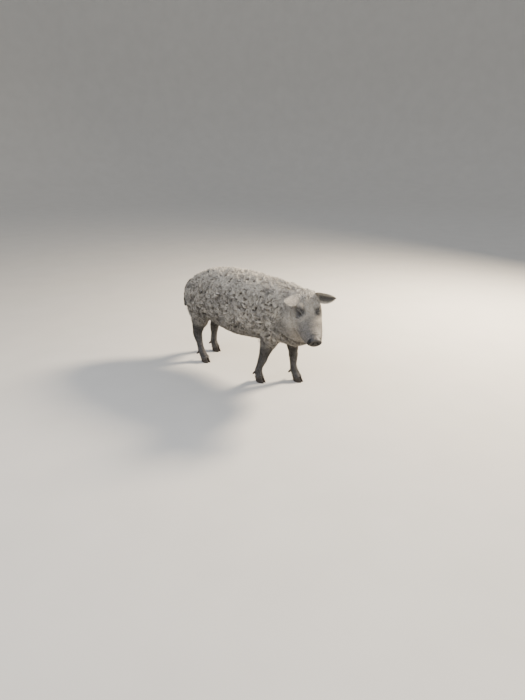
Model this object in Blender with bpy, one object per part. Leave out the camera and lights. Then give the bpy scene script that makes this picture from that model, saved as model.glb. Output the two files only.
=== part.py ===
"""A mangalica pig, standing, at life size, as a still museum model.

Metres, +Z up, +X from the rump to the shoulders, +Y the pig's left side, soles on the plane z = 0.
The trunk, neck and legs are lofted from stations, fused and smoothed into one body, clothed with
curled clumps that lie along the coat, and parted by thin cuts into the pieces that a person would name.
The head is made the same way in a frame of its own, with lids, nostrils and a mouth line.
"""

import math
from collections import namedtuple

import bmesh
import bpy
import numpy as np
from mathutils import Matrix, Vector
from mathutils.bvhtree import BVHTree
from mathutils.kdtree import KDTree

# Gap between touching pieces, the core's share of the coat, and the seeds of the random draws
GAP = 0.0003
CORE_SHARE = 0.45
SEED, TAIL_SEED = 11, 6

# A station of a loft: centre, half width, reach above and below the centre, and depth of the coat.
# On a leg, whose path runs down, above and below mean the front and the back.
Station = namedtuple("Station", "x y z half up down coat")

TRUNK = [
    Station(-0.672, 0.000, 0.492, 0.045, 0.054, 0.066, 0.014),
    Station(-0.645, 0.000, 0.495, 0.100, 0.092, 0.112, 0.020),
    Station(-0.572, 0.000, 0.508, 0.152, 0.147, 0.150, 0.024),
    Station(-0.460, 0.000, 0.526, 0.180, 0.186, 0.178, 0.026),
    Station(-0.320, 0.000, 0.536, 0.184, 0.207, 0.212, 0.028),
    Station(-0.160, 0.000, 0.537, 0.200, 0.217, 0.242, 0.030),
    Station(-0.010, 0.000, 0.530, 0.206, 0.221, 0.229, 0.030),
    Station(0.130, 0.000, 0.528, 0.202, 0.213, 0.209, 0.030),
    Station(0.240, 0.000, 0.532, 0.192, 0.202, 0.204, 0.030),
    Station(0.330, -0.006, 0.540, 0.175, 0.190, 0.203, 0.028),
    Station(0.405, -0.025, 0.548, 0.152, 0.174, 0.209, 0.026),
    Station(0.465, -0.055, 0.560, 0.134, 0.160, 0.195, 0.024),
    Station(0.515, -0.088, 0.572, 0.122, 0.144, 0.166, 0.020),
    Station(0.558, -0.120, 0.584, 0.106, 0.124, 0.125, 0.018),
]
FORE_LEG = [
    Station(0.280, 0.108, 0.530, 0.078, 0.110, 0.110, 0.026),
    Station(0.272, 0.116, 0.430, 0.064, 0.092, 0.094, 0.024),
    Station(0.264, 0.112, 0.360, 0.048, 0.064, 0.068, 0.018),
    Station(0.264, 0.110, 0.290, 0.037, 0.043, 0.046, 0.012),
    Station(0.268, 0.107, 0.225, 0.029, 0.033, 0.033, 0.008),
    Station(0.270, 0.105, 0.185, 0.030, 0.034, 0.032, 0.006),
    Station(0.270, 0.102, 0.125, 0.023, 0.024, 0.026, 0.004),
    Station(0.275, 0.100, 0.080, 0.026, 0.028, 0.030, 0.003),
    Station(0.298, 0.098, 0.040, 0.029, 0.031, 0.026, 0.002),
]
HIND_LEG = [
    Station(-0.460, 0.095, 0.550, 0.090, 0.130, 0.130, 0.026),
    Station(-0.470, 0.112, 0.450, 0.076, 0.122, 0.118, 0.024),
    Station(-0.480, 0.115, 0.375, 0.056, 0.090, 0.086, 0.020),
    Station(-0.508, 0.118, 0.305, 0.040, 0.055, 0.054, 0.014),
    Station(-0.532, 0.118, 0.250, 0.030, 0.037, 0.040, 0.009),
    Station(-0.542, 0.117, 0.210, 0.029, 0.035, 0.040, 0.006),
    Station(-0.536, 0.115, 0.145, 0.023, 0.026, 0.027, 0.004),
    Station(-0.530, 0.113, 0.080, 0.026, 0.028, 0.030, 0.003),
    Station(-0.506, 0.112, 0.040, 0.029, 0.031, 0.026, 0.002),
]
# The pose: how far each foot stands ahead of a square stance, fading out at the leg's top
FOOT_SHIFT = {"fore_right": -0.160, "fore_left": 0.030, "hind_right": 0.060, "hind_left": -0.060}
FORE_FREE, HIND_FREE = 0.38, 0.40

# The head hangs from the poll, turned to the pig's right and dropped; x runs to the snout, z to the crown
HEAD_TURN, HEAD_DROP = math.radians(-38.0), math.radians(29.0)
POLL = Vector((0.550, -0.100, 0.705))
HEAD = [
    Station(-0.060, 0.0, -0.080, 0.086, 0.085, 0.100, 0.012),
    Station(0.000, 0.0, -0.070, 0.096, 0.106, 0.126, 0.012),
    Station(0.050, 0.0, -0.066, 0.096, 0.104, 0.135, 0.008),
    Station(0.095, 0.0, -0.065, 0.091, 0.086, 0.128, 0.006),
    Station(0.140, 0.0, -0.068, 0.083, 0.064, 0.114, 0.004),
    Station(0.190, 0.0, -0.070, 0.075, 0.049, 0.099, 0.003),
    Station(0.240, 0.0, -0.070, 0.066, 0.043, 0.082, 0.002),
    Station(0.285, 0.0, -0.067, 0.054, 0.039, 0.061, 0.001),
    Station(0.318, 0.0, -0.063, 0.041, 0.034, 0.041, 0.001),
]
NAPE_CUT, SNOUT_CUT, MOUTH_LEVEL = -0.015, 0.312, -0.096
MOUTH_CORNER = 0.160
CHEEK = (Vector((0.040, 0.054, -0.125)), Vector((0.090, 0.052, 0.072)))
BROW = (Vector((0.086, 0.052, 0.010)), Vector((0.036, 0.022, 0.017)))
EYE, EYE_RADIUS = Vector((0.114, 0.0555, -0.020)), 0.0125
ORBIT_REACH, ORBIT_DEPTH = 0.026, 0.013
ROOF, JOWL = 0.16, 0.30
EYE_LOOK = Vector((0.42, 0.84, 0.34)).normalized()
LID_WIDTH, LID_HEIGHT, LID_THICK = 0.0185, 0.0135, 0.0042
SNOUT_HALF, SNOUT_TOP, SNOUT_BOTTOM, SNOUT_DEPTH = 0.0405, -0.0265, -0.0950, 0.026
NOSTRIL, NOSTRIL_SIZE = Vector((0.345, 0.0165, -0.060)), Vector((0.016, 0.0068, 0.0095))
# Ears: where they spring, which way each leaf runs, and which way its hollow looks
EAR_ROOT = Vector((0.011, 0.051, 0.021))
EAR_AXIS = {1: Vector((0.29, 0.94, 0.25)), -1: Vector((0.54, -0.76, 0.34))}
EAR_HOLLOW = {1: Vector((0.90, -0.10, 0.15)), -1: Vector((0.21, -0.35, -1.02))}
EAR_LENGTH, EAR_WIDTH, EAR_THICK, EAR_CUP, EAR_DROOP = 0.139, 0.050, 0.0080, 0.60, 0.024

# Feet: the claws stand on flat soles, and the leg's own mesh ends at the coronet
CORONET, CLAW_HALF, CLAW_SPLIT = 0.040, 0.0140, 0.0022
CLAW_TOE, CLAW_HEEL, CORONET_TOE, CORONET_HEEL = 0.056, -0.016, 0.032, -0.027
DEWCLAW_HEIGHT, DEWCLAW_LENGTH, DEWCLAW_RADIUS, DEWCLAW_SPREAD = 0.078, 0.036, 0.0085, 0.016
KNEE_CUT, HOCK_CUT = 0.182, 0.208

TAIL = [
    Station(-0.610, 0.000, 0.590, 0.018, 0.018, 0.018, 0),
    Station(-0.665, -0.006, 0.602, 0.016, 0.016, 0.016, 0),
    Station(-0.704, -0.028, 0.576, 0.014, 0.014, 0.014, 0),
    Station(-0.712, -0.052, 0.522, 0.012, 0.012, 0.012, 0),
    Station(-0.704, -0.066, 0.465, 0.010, 0.010, 0.010, 0),
    Station(-0.690, -0.078, 0.412, 0.008, 0.008, 0.008, 0),
]

# Clumps: distance between roots, length and half width on the trunk, and their share of it elsewhere
CLUMP_SPACING, CLUMP_LENGTH, CLUMP_HALF = 0.082, 0.155, 0.039
LEG_SHARE, CHEEK_SHARE, TAIL_SHARE = 0.70, 0.52, 0.27
CLUMP_FLOOR = 0.235
# Share of the coat's rise and of the width from root to tip, the tip's rise, and the underside's depth
CLUMP_PROFILE = ((0.10, 0.50), (0.82, 0.95), (1.00, 1.00), (0.80, 0.66))
CLUMP_TIP, CLUMP_SUNK = 0.34, 0.004


def unit(v):
    return v / np.linalg.norm(v)


def between(keys, steps):
    """Stations on a smooth curve through the keys, with so many steps from one key to the next."""
    rows = np.array(keys, float)
    padded = np.vstack([2 * rows[0] - rows[1], rows, 2 * rows[-1] - rows[-2]])
    found = []
    for a, b, c, d in zip(padded, padded[1:], padded[2:], padded[3:]):
        for t in np.arange(steps) / steps:
            bend = 2 * a - 5 * b + 4 * c - d
            found.append(0.5 * (2 * b + (c - a) * t + bend * t**2 + (3 * b - a - 3 * c + d) * t**3))
    return np.array(found + [rows[-1]])


def rings_of(rows, grow, around, left_axis=None, roof=0.0, jowl=0.0):
    """Rings of points square to the path of the stations, grown by a share of the coat's depth.

    The roof is the share by which the upper half narrows towards its top, and the jowl says how
    square the lower half is.
    """
    turns = np.linspace(0, 2 * math.pi, around, endpoint=False)
    across, along = np.cos(turns), np.sin(turns)
    power = np.where(along < 0, 1 - jowl, 1.0)
    across = np.sign(across) * np.abs(across) ** power
    along = np.sign(along) * np.abs(along) ** power
    rings = []
    for row, tangent in zip(rows, np.gradient(rows[:, :3], axis=0)):
        forward = unit(tangent)
        if left_axis is None:
            left = unit(np.cross((0, 0, 1), forward))
        else:
            left = unit(left_axis - forward * np.dot(left_axis, forward))
        third = np.cross(forward, left)
        extra = row[6] * grow
        reach = np.where(along > 0, row[4], row[5]) + extra
        half = (row[3] + extra) * (1 - roof * np.maximum(along, 0) ** 2)
        rings.append(row[:3] + np.outer(across * half, left) + np.outer(along * reach, third))
    return rings


def add_object(name, mesh):
    obj = bpy.data.objects.new(name, mesh)
    bpy.context.collection.objects.link(obj)
    return obj


def solid(name, points, faces):
    """A closed mesh object whose faces are turned outwards."""
    mesh = bpy.data.meshes.new(name)
    mesh.from_pydata([tuple(p) for p in points], [], faces)
    bm = bmesh.new()
    bm.from_mesh(mesh)
    bmesh.ops.recalc_face_normals(bm, faces=bm.faces)
    bm.to_mesh(mesh)
    bm.free()
    return add_object(name, mesh)


def loft(name, rings, tip=False):
    """A closed body through the rings: each end is a fan round its middle, or the last ring closes on a tip."""
    count = len(rings[0])
    points = [p for ring in rings for p in ring]
    faces = []
    for k in range(len(rings) - 1):
        for i in range(count):
            j = (i + 1) % count
            faces.append((k * count + i, k * count + j, (k + 1) * count + j, (k + 1) * count + i))
    last = np.mean(rings[-1], axis=0) if tip is False else tip
    for k, pole in ((0, np.mean(rings[0], axis=0)), (len(rings) - 1, last)):
        points.append(pole)
        faces += [(len(points) - 1, k * count + i, k * count + (i + 1) % count) for i in range(count)]
    return solid(name, points, faces)


def ellipsoid(name, centre, radii, segments=16, rings=10):
    bm = bmesh.new()
    bmesh.ops.create_uvsphere(bm, u_segments=segments, v_segments=rings, radius=1.0)
    place = Matrix.Translation(centre) @ Matrix.Diagonal((*radii, 1.0))
    bmesh.ops.transform(bm, verts=bm.verts, matrix=place)
    mesh = bpy.data.meshes.new(name)
    bm.to_mesh(mesh)
    bm.free()
    return add_object(name, mesh)


def block(name, corners_low, corners_high):
    """A six-sided cutter from four low corners and four high ones, each list going round."""
    sides = [(i, (i + 1) % 4, 4 + (i + 1) % 4, 4 + i) for i in range(4)]
    return solid(name, list(corners_low) + list(corners_high), [(3, 2, 1, 0), (4, 5, 6, 7)] + sides)


def box(name, low, high):
    (x0, y0, z0), (x1, y1, z1) = low, high
    plan = [(x0, y0), (x1, y0), (x1, y1), (x0, y1)]
    return block(name, [(x, y, z0) for x, y in plan], [(x, y, z1) for x, y in plan])


def remove(*objects):
    for obj in objects:
        bpy.data.objects.remove(obj)


def settle(obj):
    """Puts the evaluated mesh in place of the object's mesh and modifiers."""
    graph = bpy.context.evaluated_depsgraph_get()
    mesh = bpy.data.meshes.new_from_object(obj.evaluated_get(graph))
    obj.modifiers.clear()
    obj.data = mesh
    return obj


def joined(name, objects):
    """One mesh object that holds all the closed shapes given."""
    bm = bmesh.new()
    for obj in objects:
        bm.from_mesh(obj.data)
    mesh = bpy.data.meshes.new(name)
    bm.to_mesh(mesh)
    bm.free()
    remove(*objects)
    return add_object(name, mesh)


def thinned(obj, triangles):
    """Collapses the least telling edges of the largest surface until about so many triangles are left."""
    keep_largest(obj)
    obj.data.calc_loop_triangles()
    thin = obj.modifiers.new("thin", "DECIMATE")
    thin.ratio = triangles / len(obj.data.loop_triangles)
    return settle(obj)


def dent(obj, centre, reach, depth):
    """Presses the surface in, along its normals, around a point."""
    moves = []
    for vertex in obj.data.vertices:
        share = math.exp(-((vertex.co - centre).length / reach) ** 2)
        moves.append(vertex.normal * -depth * share)
    for vertex, move in zip(obj.data.vertices, moves):
        vertex.co += move


def fused(name, objects, voxel, rounds, triangles, dents=(), soft_from=-1.0):
    """The shapes remeshed into one skin, smoothed (more above a level), dented, and thinned."""
    obj = joined(name, objects)
    remesh = obj.modifiers.new("remesh", "REMESH")
    remesh.mode = "VOXEL"
    remesh.voxel_size = voxel
    settle(obj)
    soft = obj.vertex_groups.new(name="soft")
    for vertex in obj.data.vertices:
        soft.add([vertex.index], min(max((vertex.co.z - soft_from) / 0.12, 0.0), 1.0), "REPLACE")
    for label, group, count in (("all", "", rounds), ("soft", "soft", 2 * rounds)):
        smooth = obj.modifiers.new(label, "SMOOTH")
        smooth.factor = 0.5
        smooth.iterations = count
        smooth.vertex_group = group
    settle(obj)
    for centre, reach, depth in dents:
        dent(obj, centre, reach, depth)
    return thinned(obj, triangles)


def boolean(obj, operation, others, solver="MANIFOLD"):
    """The Boolean of the object with all the others, which are then removed."""
    group = bpy.data.collections.new(obj.name + "_pieces")
    bpy.context.scene.collection.children.link(group)
    for other in others:
        group.objects.link(other)
    step = obj.modifiers.new("boolean", "BOOLEAN")
    step.operation = operation
    step.solver = solver
    step.operand_type = "COLLECTION"
    step.collection = group
    settle(obj)
    bpy.data.collections.remove(group)
    remove(*others)
    return obj


def copy_of(obj, name):
    return add_object(name, obj.data.copy())


def swollen(obj, by):
    """A copy of the object pushed out along its normals."""
    fat = copy_of(obj, obj.name + "_swollen")
    shift = [vertex.normal * by for vertex in fat.data.vertices]
    for vertex, move in zip(fat.data.vertices, shift):
        vertex.co += move
    return fat


def keep_largest(obj):
    """Leaves only the largest closed surface, so no scrap or sealed hollow stays."""
    bm = bmesh.new()
    bm.from_mesh(obj.data)
    bmesh.ops.triangulate(bm, faces=bm.faces)
    left, groups = set(bm.faces), []
    while left:
        stack = [left.pop()]
        group = []
        while stack:
            face = stack.pop()
            group.append(face)
            for edge in face.edges:
                for other in edge.link_faces:
                    if other in left:
                        left.remove(other)
                        stack.append(other)
        groups.append(group)
    groups.sort(key=lambda g: sum(f.calc_area() for f in g), reverse=True)
    for group in groups[1:]:
        bmesh.ops.delete(bm, geom=group, context="FACES")
    bm.to_mesh(obj.data)
    bm.free()
    return obj


def leg_rows(keys, side, shift, free):
    """A leg's stations on one side of the pig, leaning so that its foot stands ahead by the shift."""
    rows = between(keys, 2)
    rows[:, 1] *= side
    rows[:, 0] += shift * np.clip((free - rows[:, 2]) / (free - CORONET), 0, 1)
    return rows


LEGS = {
    "fore_left": (FORE_LEG, 1, FORE_FREE),
    "fore_right": (FORE_LEG, -1, FORE_FREE),
    "hind_left": (HIND_LEG, 1, HIND_FREE),
    "hind_right": (HIND_LEG, -1, HIND_FREE),
}


def body_mesh(grow, voxel, rounds, triangles, skull):
    """Trunk, skull and legs as one skin. The legs run on below the coronet, so that the cut there is clean."""
    shapes = [skull, loft("trunk", rings_of(between(TRUNK, 3), grow, 32, roof=ROOF))]
    for leg, (keys, side, free) in LEGS.items():
        rows = leg_rows(keys, side, FOOT_SHIFT[leg], free)
        run_on = 2 * rows[-1] - rows[-2]
        run_on[3:] = rows[-1][3:]
        rows = np.vstack([rows, run_on])
        shapes.append(loft(leg, rings_of(rows, grow, 20, np.array((0.0, 1.0, 0.0)))))
    return fused("body", shapes, voxel, rounds, triangles, soft_from=0.30)


def head_matrix():
    turned = Matrix.Rotation(HEAD_TURN, 4, "Z") @ Matrix.Rotation(HEAD_DROP, 4, "Y")
    return Matrix.Translation(POLL) @ turned


def mirrored(v, side):
    return Vector((v.x, v.y * side, v.z))


def lid(name, side, upper):
    """An arc of eyelid round the eyeball's front, thicker in its middle."""
    look = mirrored(EYE_LOOK, side)
    across = look.cross(Vector((0, 0, 1))).normalized()
    rise = across.cross(look).normalized()
    middle = mirrored(EYE, side) + look * EYE_RADIUS * 0.72
    rings = []
    for t in np.linspace(-0.1, math.pi + 0.1, 9):
        lift = math.sin(t) * (1 if upper else -0.85)
        spot = middle + across * math.cos(t) * LID_WIDTH + rise * lift * LID_HEIGHT
        spot -= look * 0.007 * math.cos(t) ** 2
        thick = LID_THICK * (0.65 + 0.5 * abs(math.sin(t)))
        out = (across * math.cos(t) + rise * lift).normalized()
        turns = [2 * math.pi * k / 6 for k in range(6)]
        rings.append([np.array(spot + (out * math.cos(a) + look * math.sin(a)) * thick) for a in turns])
    return loft(name, rings)


def head_solid(grow, voxel, rounds, triangles, neck):
    """The head with its jaw as one skin, in the head's own frame, with cheeks and brows."""
    shapes = [neck, loft("skull", rings_of(between(HEAD, 3), grow, 32, jowl=JOWL))]
    for side in (1, -1):
        for label, (centre, radii) in (("cheek", CHEEK), ("brow", BROW)):
            shapes.append(ellipsoid(label, mirrored(centre, side), radii))
    before_eye = EYE + EYE_LOOK * 0.012
    orbits = [(mirrored(before_eye, side), ORBIT_REACH, ORBIT_DEPTH) for side in (1, -1)]
    return fused("head", shapes, voxel, rounds, triangles, orbits)


def coat_of(rows):
    """A finder of the coat's depth near any point, from rows of stations."""
    tree = KDTree(12 * sum(len(stations) for stations, left in rows.values()))
    depths = []
    for stations, left in rows.values():
        for ring, row in zip(rings_of(stations, 0.0, 12, left), stations):
            for point in ring:
                tree.insert(point, len(depths))
                depths.append(row[6])
    tree.balance()
    return lambda point: depths[tree.find(point)[1]]


def lie(point):
    """The way the hair lies: back along the trunk, falling down the flanks and legs, swayed by wide whorls."""
    leg = min(max((0.40 - point.z) / 0.10, 0.0), 1.0)
    fall = 0.25 + 2.2 * max(0.0, 0.66 - point.z)
    outward = 0.25 * math.copysign(1, point.y) * (point.z > 0.62)
    flow = Vector((-1.0 + 0.9 * leg, outward, -fall - leg))
    whorl = math.sin(9.0 * point.x + 4.0 * point.z) * math.cos(7.0 * point.z - 5.0 * point.x + 1.0)
    return flow.normalized(), 0.7 * whorl * (1 - leg)


def clump(name, bvh, root, way, normal, length, half, rise, curl):
    """A tapered lock that springs out of the surface, bends as it runs over it, and lifts its tip a little."""
    spot, rings = root - way * length * 0.15, []
    step = length / len(CLUMP_PROFILE)
    for height, width in CLUMP_PROFILE:
        side = normal.cross(way).normalized() * half * width
        top = normal * rise * height
        base = spot - normal * CLUMP_SUNK
        flank = side * 0.62
        section = (base + side, spot + flank + top * 0.78, spot + top, spot - flank + top * 0.70, base - side)
        rings.append([np.array(point) for point in section])
        way = Matrix.Rotation(curl, 3, normal) @ way
        spot, normal = bvh.find_nearest(spot + way * step)[:2]
        way = (way - normal * way.dot(normal)).normalized()
    return loft(name, rings, tip=np.array(spot + normal * rise * CLUMP_TIP))


def clumps_on(obj, rng, spacing, choose):
    """Clumps rooted evenly over a core: choose gives each root's size, rise and lie, or nothing."""
    mesh = obj.data
    mesh.calc_loop_triangles()
    bvh = BVHTree.FromObject(obj, bpy.context.evaluated_depsgraph_get())
    corners = np.array([[mesh.vertices[i].co for i in t.vertices] for t in mesh.loop_triangles])
    areas = np.linalg.norm(np.cross(corners[:, 1] - corners[:, 0], corners[:, 2] - corners[:, 0]), axis=1)
    picks = rng.choice(len(areas), size=5000, p=areas / areas.sum())
    points = np.einsum("ij,ijk->ik", rng.dirichlet((1, 1, 1), size=5000), corners[picks])
    chosen = [choose(Vector(point)) for point in points]
    keep = [i for i, found in enumerate(chosen) if found]
    points, chosen = points[keep], [chosen[i] for i in keep]
    shares = np.array([found[0] for found in chosen])
    free = np.full(len(points), 9.0)
    made = []
    # Each next root is the place that lies farthest from all roots so far, for its own size
    while True:
        pick = int(np.argmax(free / shares))
        if free[pick] < spacing * shares[pick]:
            break
        free = np.minimum(free, np.linalg.norm(points - points[pick], axis=1))
        share, rise, flow, sway, bend = chosen[pick]
        spot, normal = bvh.find_nearest(Vector(points[pick]))[:2]
        way = flow - normal * flow.dot(normal)
        if way.length < 0.2:
            way = normal.orthogonal()
        way = Matrix.Rotation(sway + rng.normal(0, 0.25), 3, normal) @ way.normalized()
        long = CLUMP_LENGTH * share * rng.uniform(0.85, 1.15)
        curl = rng.choice((-1, 1)) * rng.uniform(0.28, 0.55) * bend
        half = CLUMP_HALF * share * rng.uniform(0.85, 1.15)
        made.append(clump("clump", bvh, spot, way, normal, long, half, rise * rng.uniform(0.88, 1.04), curl))
    return made


def snout_disc():
    """The rooting disc: a low oval drum with a rolled rim, its top edge leading, with two blind nostrils."""
    middle, reach = (SNOUT_TOP + SNOUT_BOTTOM) / 2, (SNOUT_TOP - SNOUT_BOTTOM) / 2
    # share of the depth, and of the half width, from the cut to the flat face
    profile = [(0.0, 0.90), (0.35, 0.97), (0.72, 1.03), (0.92, 1.0), (1.0, 0.90)]
    turns = np.linspace(0, 2 * math.pi, 20, endpoint=False)
    rings = []
    for depth, share in profile:
        ring = []
        for t in turns:
            lead = 0.18 * reach * math.sin(t) * share * depth
            ring.append(np.array((
                SNOUT_CUT + GAP + SNOUT_DEPTH * depth + lead,
                SNOUT_HALF * share * math.cos(t),
                middle + reach * share * math.sin(t) * (1 - 0.06 * math.cos(2 * t)),
            )))
        rings.append(ring)
    disc = loft("snout", rings)
    nostrils = [ellipsoid("nostril", mirrored(NOSTRIL, side), NOSTRIL_SIZE, 10, 8) for side in (1, -1)]
    return boolean(disc, "DIFFERENCE", nostrils)


def ear(name, side):
    """A broad, cupped leaf that stands out from the poll and droops to its point, both faces split alike."""
    across_count, along_count = 6, 8
    axis = EAR_AXIS[side].normalized()
    face = EAR_HOLLOW[side]
    face = (face - axis * face.dot(axis)).normalized()
    wide = axis.cross(face).normalized()
    root = mirrored(EAR_ROOT, side)
    front, back = [], []
    for i in range(along_count + 1):
        s = i / along_count
        half = EAR_WIDTH * (0.80 + 0.55 * s) * max(1 - s**1.8, 0.004) ** 0.85
        for j in range(across_count + 1):
            t = 2 * j / across_count - 1
            cup = EAR_CUP * (1 - 0.45 * s) * half * t * t
            spot = root + axis * EAR_LENGTH * s + wide * half * t + face * (cup - 0.25 * EAR_WIDTH * (1 - s))
            spot += Vector((0, 0, -EAR_DROOP * s * s)) + face * 0.012 * math.sin(math.pi * s)
            thick = EAR_THICK * (1 - 0.55 * s) * (1 - 0.55 * t * t)
            front.append(spot + face * thick / 2)
            back.append(spot - face * thick / 2)
    row = across_count + 1
    count = len(front)
    faces = []
    for i in range(along_count):
        for j in range(across_count):
            a, b, c, d = i * row + j, i * row + j + 1, (i + 1) * row + j + 1, (i + 1) * row + j
            if (j < across_count / 2) == (side > 0):
                halves = [(a, b, c), (a, c, d)]
            else:
                halves = [(a, b, d), (b, c, d)]
            faces += halves
            faces += [tuple(count + k for k in reversed(half)) for half in halves]
    rim = list(range(row))
    rim += [i * row + across_count for i in range(1, along_count + 1)]
    rim += [along_count * row + j for j in range(across_count - 1, -1, -1)]
    rim += [i * row for i in range(along_count - 1, 0, -1)]
    for a, b in zip(rim, rim[1:] + rim[:1]):
        faces += [(a, b, count + b), (a, count + b, count + a)]
    return solid(name, front + back, faces)


def claw(name, coronet_x, foot_y, inner):
    """One half of the cloven foot, from its flat sole to just under the coronet."""
    middle_y = foot_y + inner * (CLAW_HALF + CLAW_SPLIT / 2)
    rings = []
    for share in (0.0, 0.12, 0.55, 1.0):
        toe = CLAW_TOE + (CORONET_TOE - CLAW_TOE) * share
        heel = CLAW_HEEL + (CORONET_HEEL - CLAW_HEEL) * share
        fat = CLAW_HALF * (0.90 if share == 0 else 1.0)
        ring = []
        for t in np.linspace(0, 2 * math.pi, 12, endpoint=False):
            point_in = 1 - 0.42 * max(0.0, math.cos(t)) ** 2
            reach = (toe - heel) / 2 * (0.97 if share == 0 else 1.0)
            ring.append(np.array((
                coronet_x + (toe + heel) / 2 + reach * math.cos(t),
                middle_y + fat * math.sin(t) * point_in - inner * 0.004 * max(0.0, math.cos(t)),
                share * (CORONET - GAP),
            )))
        rings.append(ring)
    return loft(name, rings)


def dewclaw(name, spot, inner):
    """A small blunt horn behind the pastern, pointing down and back."""
    aim = unit(np.array((-0.62, 0.30 * inner, -0.72)))
    side = unit(np.cross(aim, (0, 0, 1)))
    third = np.cross(side, aim)
    turns = np.linspace(0, 2 * math.pi, 7, endpoint=False)
    rings = []
    for share, fat in ((0.0, 0.9), (0.45, 1.0), (0.85, 0.62)):
        middle = spot + aim * DEWCLAW_LENGTH * share
        round_it = [side * math.cos(t) + third * math.sin(t) for t in turns]
        rings.append([middle + DEWCLAW_RADIUS * fat * way for way in round_it])
    return loft(name, rings, tip=spot + aim * DEWCLAW_LENGTH)


# Cells: convex blocks that part the whole body into its nodes. A grown block leaves the gap.
def leg_block(name, side, low_x, high_x, inner, outer, bottom, grow=0.0):
    """A column round one leg whose top slopes up outwards, from the groin or the armpit to the flank."""
    (inner_y, inner_z), (outer_y, outer_z) = inner, outer
    lows = [(low_x[0], inner_y - grow), (low_x[1], inner_y - grow), (low_x[1], outer_y), (low_x[0], outer_y)]
    highs = [
        (high_x[0] - grow, inner_y - grow, inner_z + grow),
        (high_x[1] + grow, inner_y - grow, inner_z + grow),
        (high_x[1] + grow, outer_y, outer_z + grow),
        (high_x[0] - grow, outer_y, outer_z + grow),
    ]
    return block(name, [(x, y * side, bottom) for x, y in lows], [(x, y * side, z) for x, y, z in highs])


# For each pair of legs: x range low down, x range at the top, inner and outer edge of the top, and the joint cut
LEG_CELL = {
    "fore": ((0.02, 0.56), (0.185, 0.375), (0.030, 0.295), (0.300, 0.470), KNEE_CUT),
    "hind": ((-0.76, -0.22), (-0.625, -0.345), (0.030, 0.300), (0.300, 0.520), HOCK_CUT),
}


def neck_block(name, grow=0.0):
    """From the shoulder forwards: its back face leans forward going down and turns with the neck's bend."""
    back = [((0.375, -0.40), (0.545, 0.40)), ((0.300, -0.40), (0.470, 0.40))]
    low, high = [
        [(a[0] - grow, a[1], z), (1.2, a[1], z), (1.2, b[1], z), (b[0] - grow, b[1], z)]
        for (a, b), z in zip(back, (0.20, 1.20))
    ]
    return block(name, low, high)


def head_block(name, grow=0.0):
    """Everything ahead of a plane behind the ears and above the throat, in the head's own frame."""
    plan = [(NAPE_CUT + 0.075, -0.200), (0.60, -0.200), (0.60, 0.30), (NAPE_CUT - 0.060, 0.30)]
    plan[0] = (plan[0][0] - grow, plan[0][1] - grow)
    plan[1] = (plan[1][0], plan[1][1] - grow)
    plan[3] = (plan[3][0] - grow, plan[3][1])
    cell = block(name, [(x, -0.5, z) for x, z in plan], [(x, 0.5, z) for x, z in plan])
    cell.data.transform(head_matrix())
    return cell


def jaw_block(name, grow=0.0):
    """The lower jaw from the corners of the mouth forwards, in the head's own frame."""
    plan = [
        (MOUTH_CORNER - 0.030 - grow, -0.30),
        (0.60, -0.30),
        (0.60, MOUTH_LEVEL + grow),
        (MOUTH_CORNER - grow, MOUTH_LEVEL + grow),
    ]
    return block(name, [(x, -0.5, z) for x, z in plan], [(x, 0.5, z) for x, z in plan])


def material(name, colour, roughness):
    made = bpy.data.materials.new(name)
    made.use_nodes = True
    surface = made.node_tree.nodes["Principled BSDF"]
    surface.inputs["Base Color"].default_value = (*colour, 1.0)
    surface.inputs["Roughness"].default_value = roughness
    return made


BLOND, SLATE = (0.55, 0.46, 0.34), (0.05, 0.048, 0.05)
HORN, DARK = (0.06, 0.045, 0.035), (0.01, 0.008, 0.006)
LOOK = {
    "torso": (BLOND, 0.85),
    "neck": (BLOND, 0.85),
    "head": ((0.24, 0.20, 0.16), 0.75),
    "jaw": (SLATE, 0.60),
    "snout": (SLATE, 0.45),
    "ear": ((0.30, 0.24, 0.18), 0.75),
    "eye": (DARK, 0.10),
    "tail": ((0.12, 0.09, 0.07), 0.85),
    "upper": ((0.30, 0.25, 0.19), 0.85),
    "lower": ((0.10, 0.085, 0.075), 0.75),
    "claw": (HORN, 0.50),
    "dewclaw": (HORN, 0.50),
}


def node(obj, name, look):
    keep_largest(obj)
    obj.name = name
    obj.data.name = name
    colour, roughness = LOOK[look]
    obj.data.materials.clear()
    obj.data.materials.append(material(name, colour, roughness))
    return obj


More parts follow.
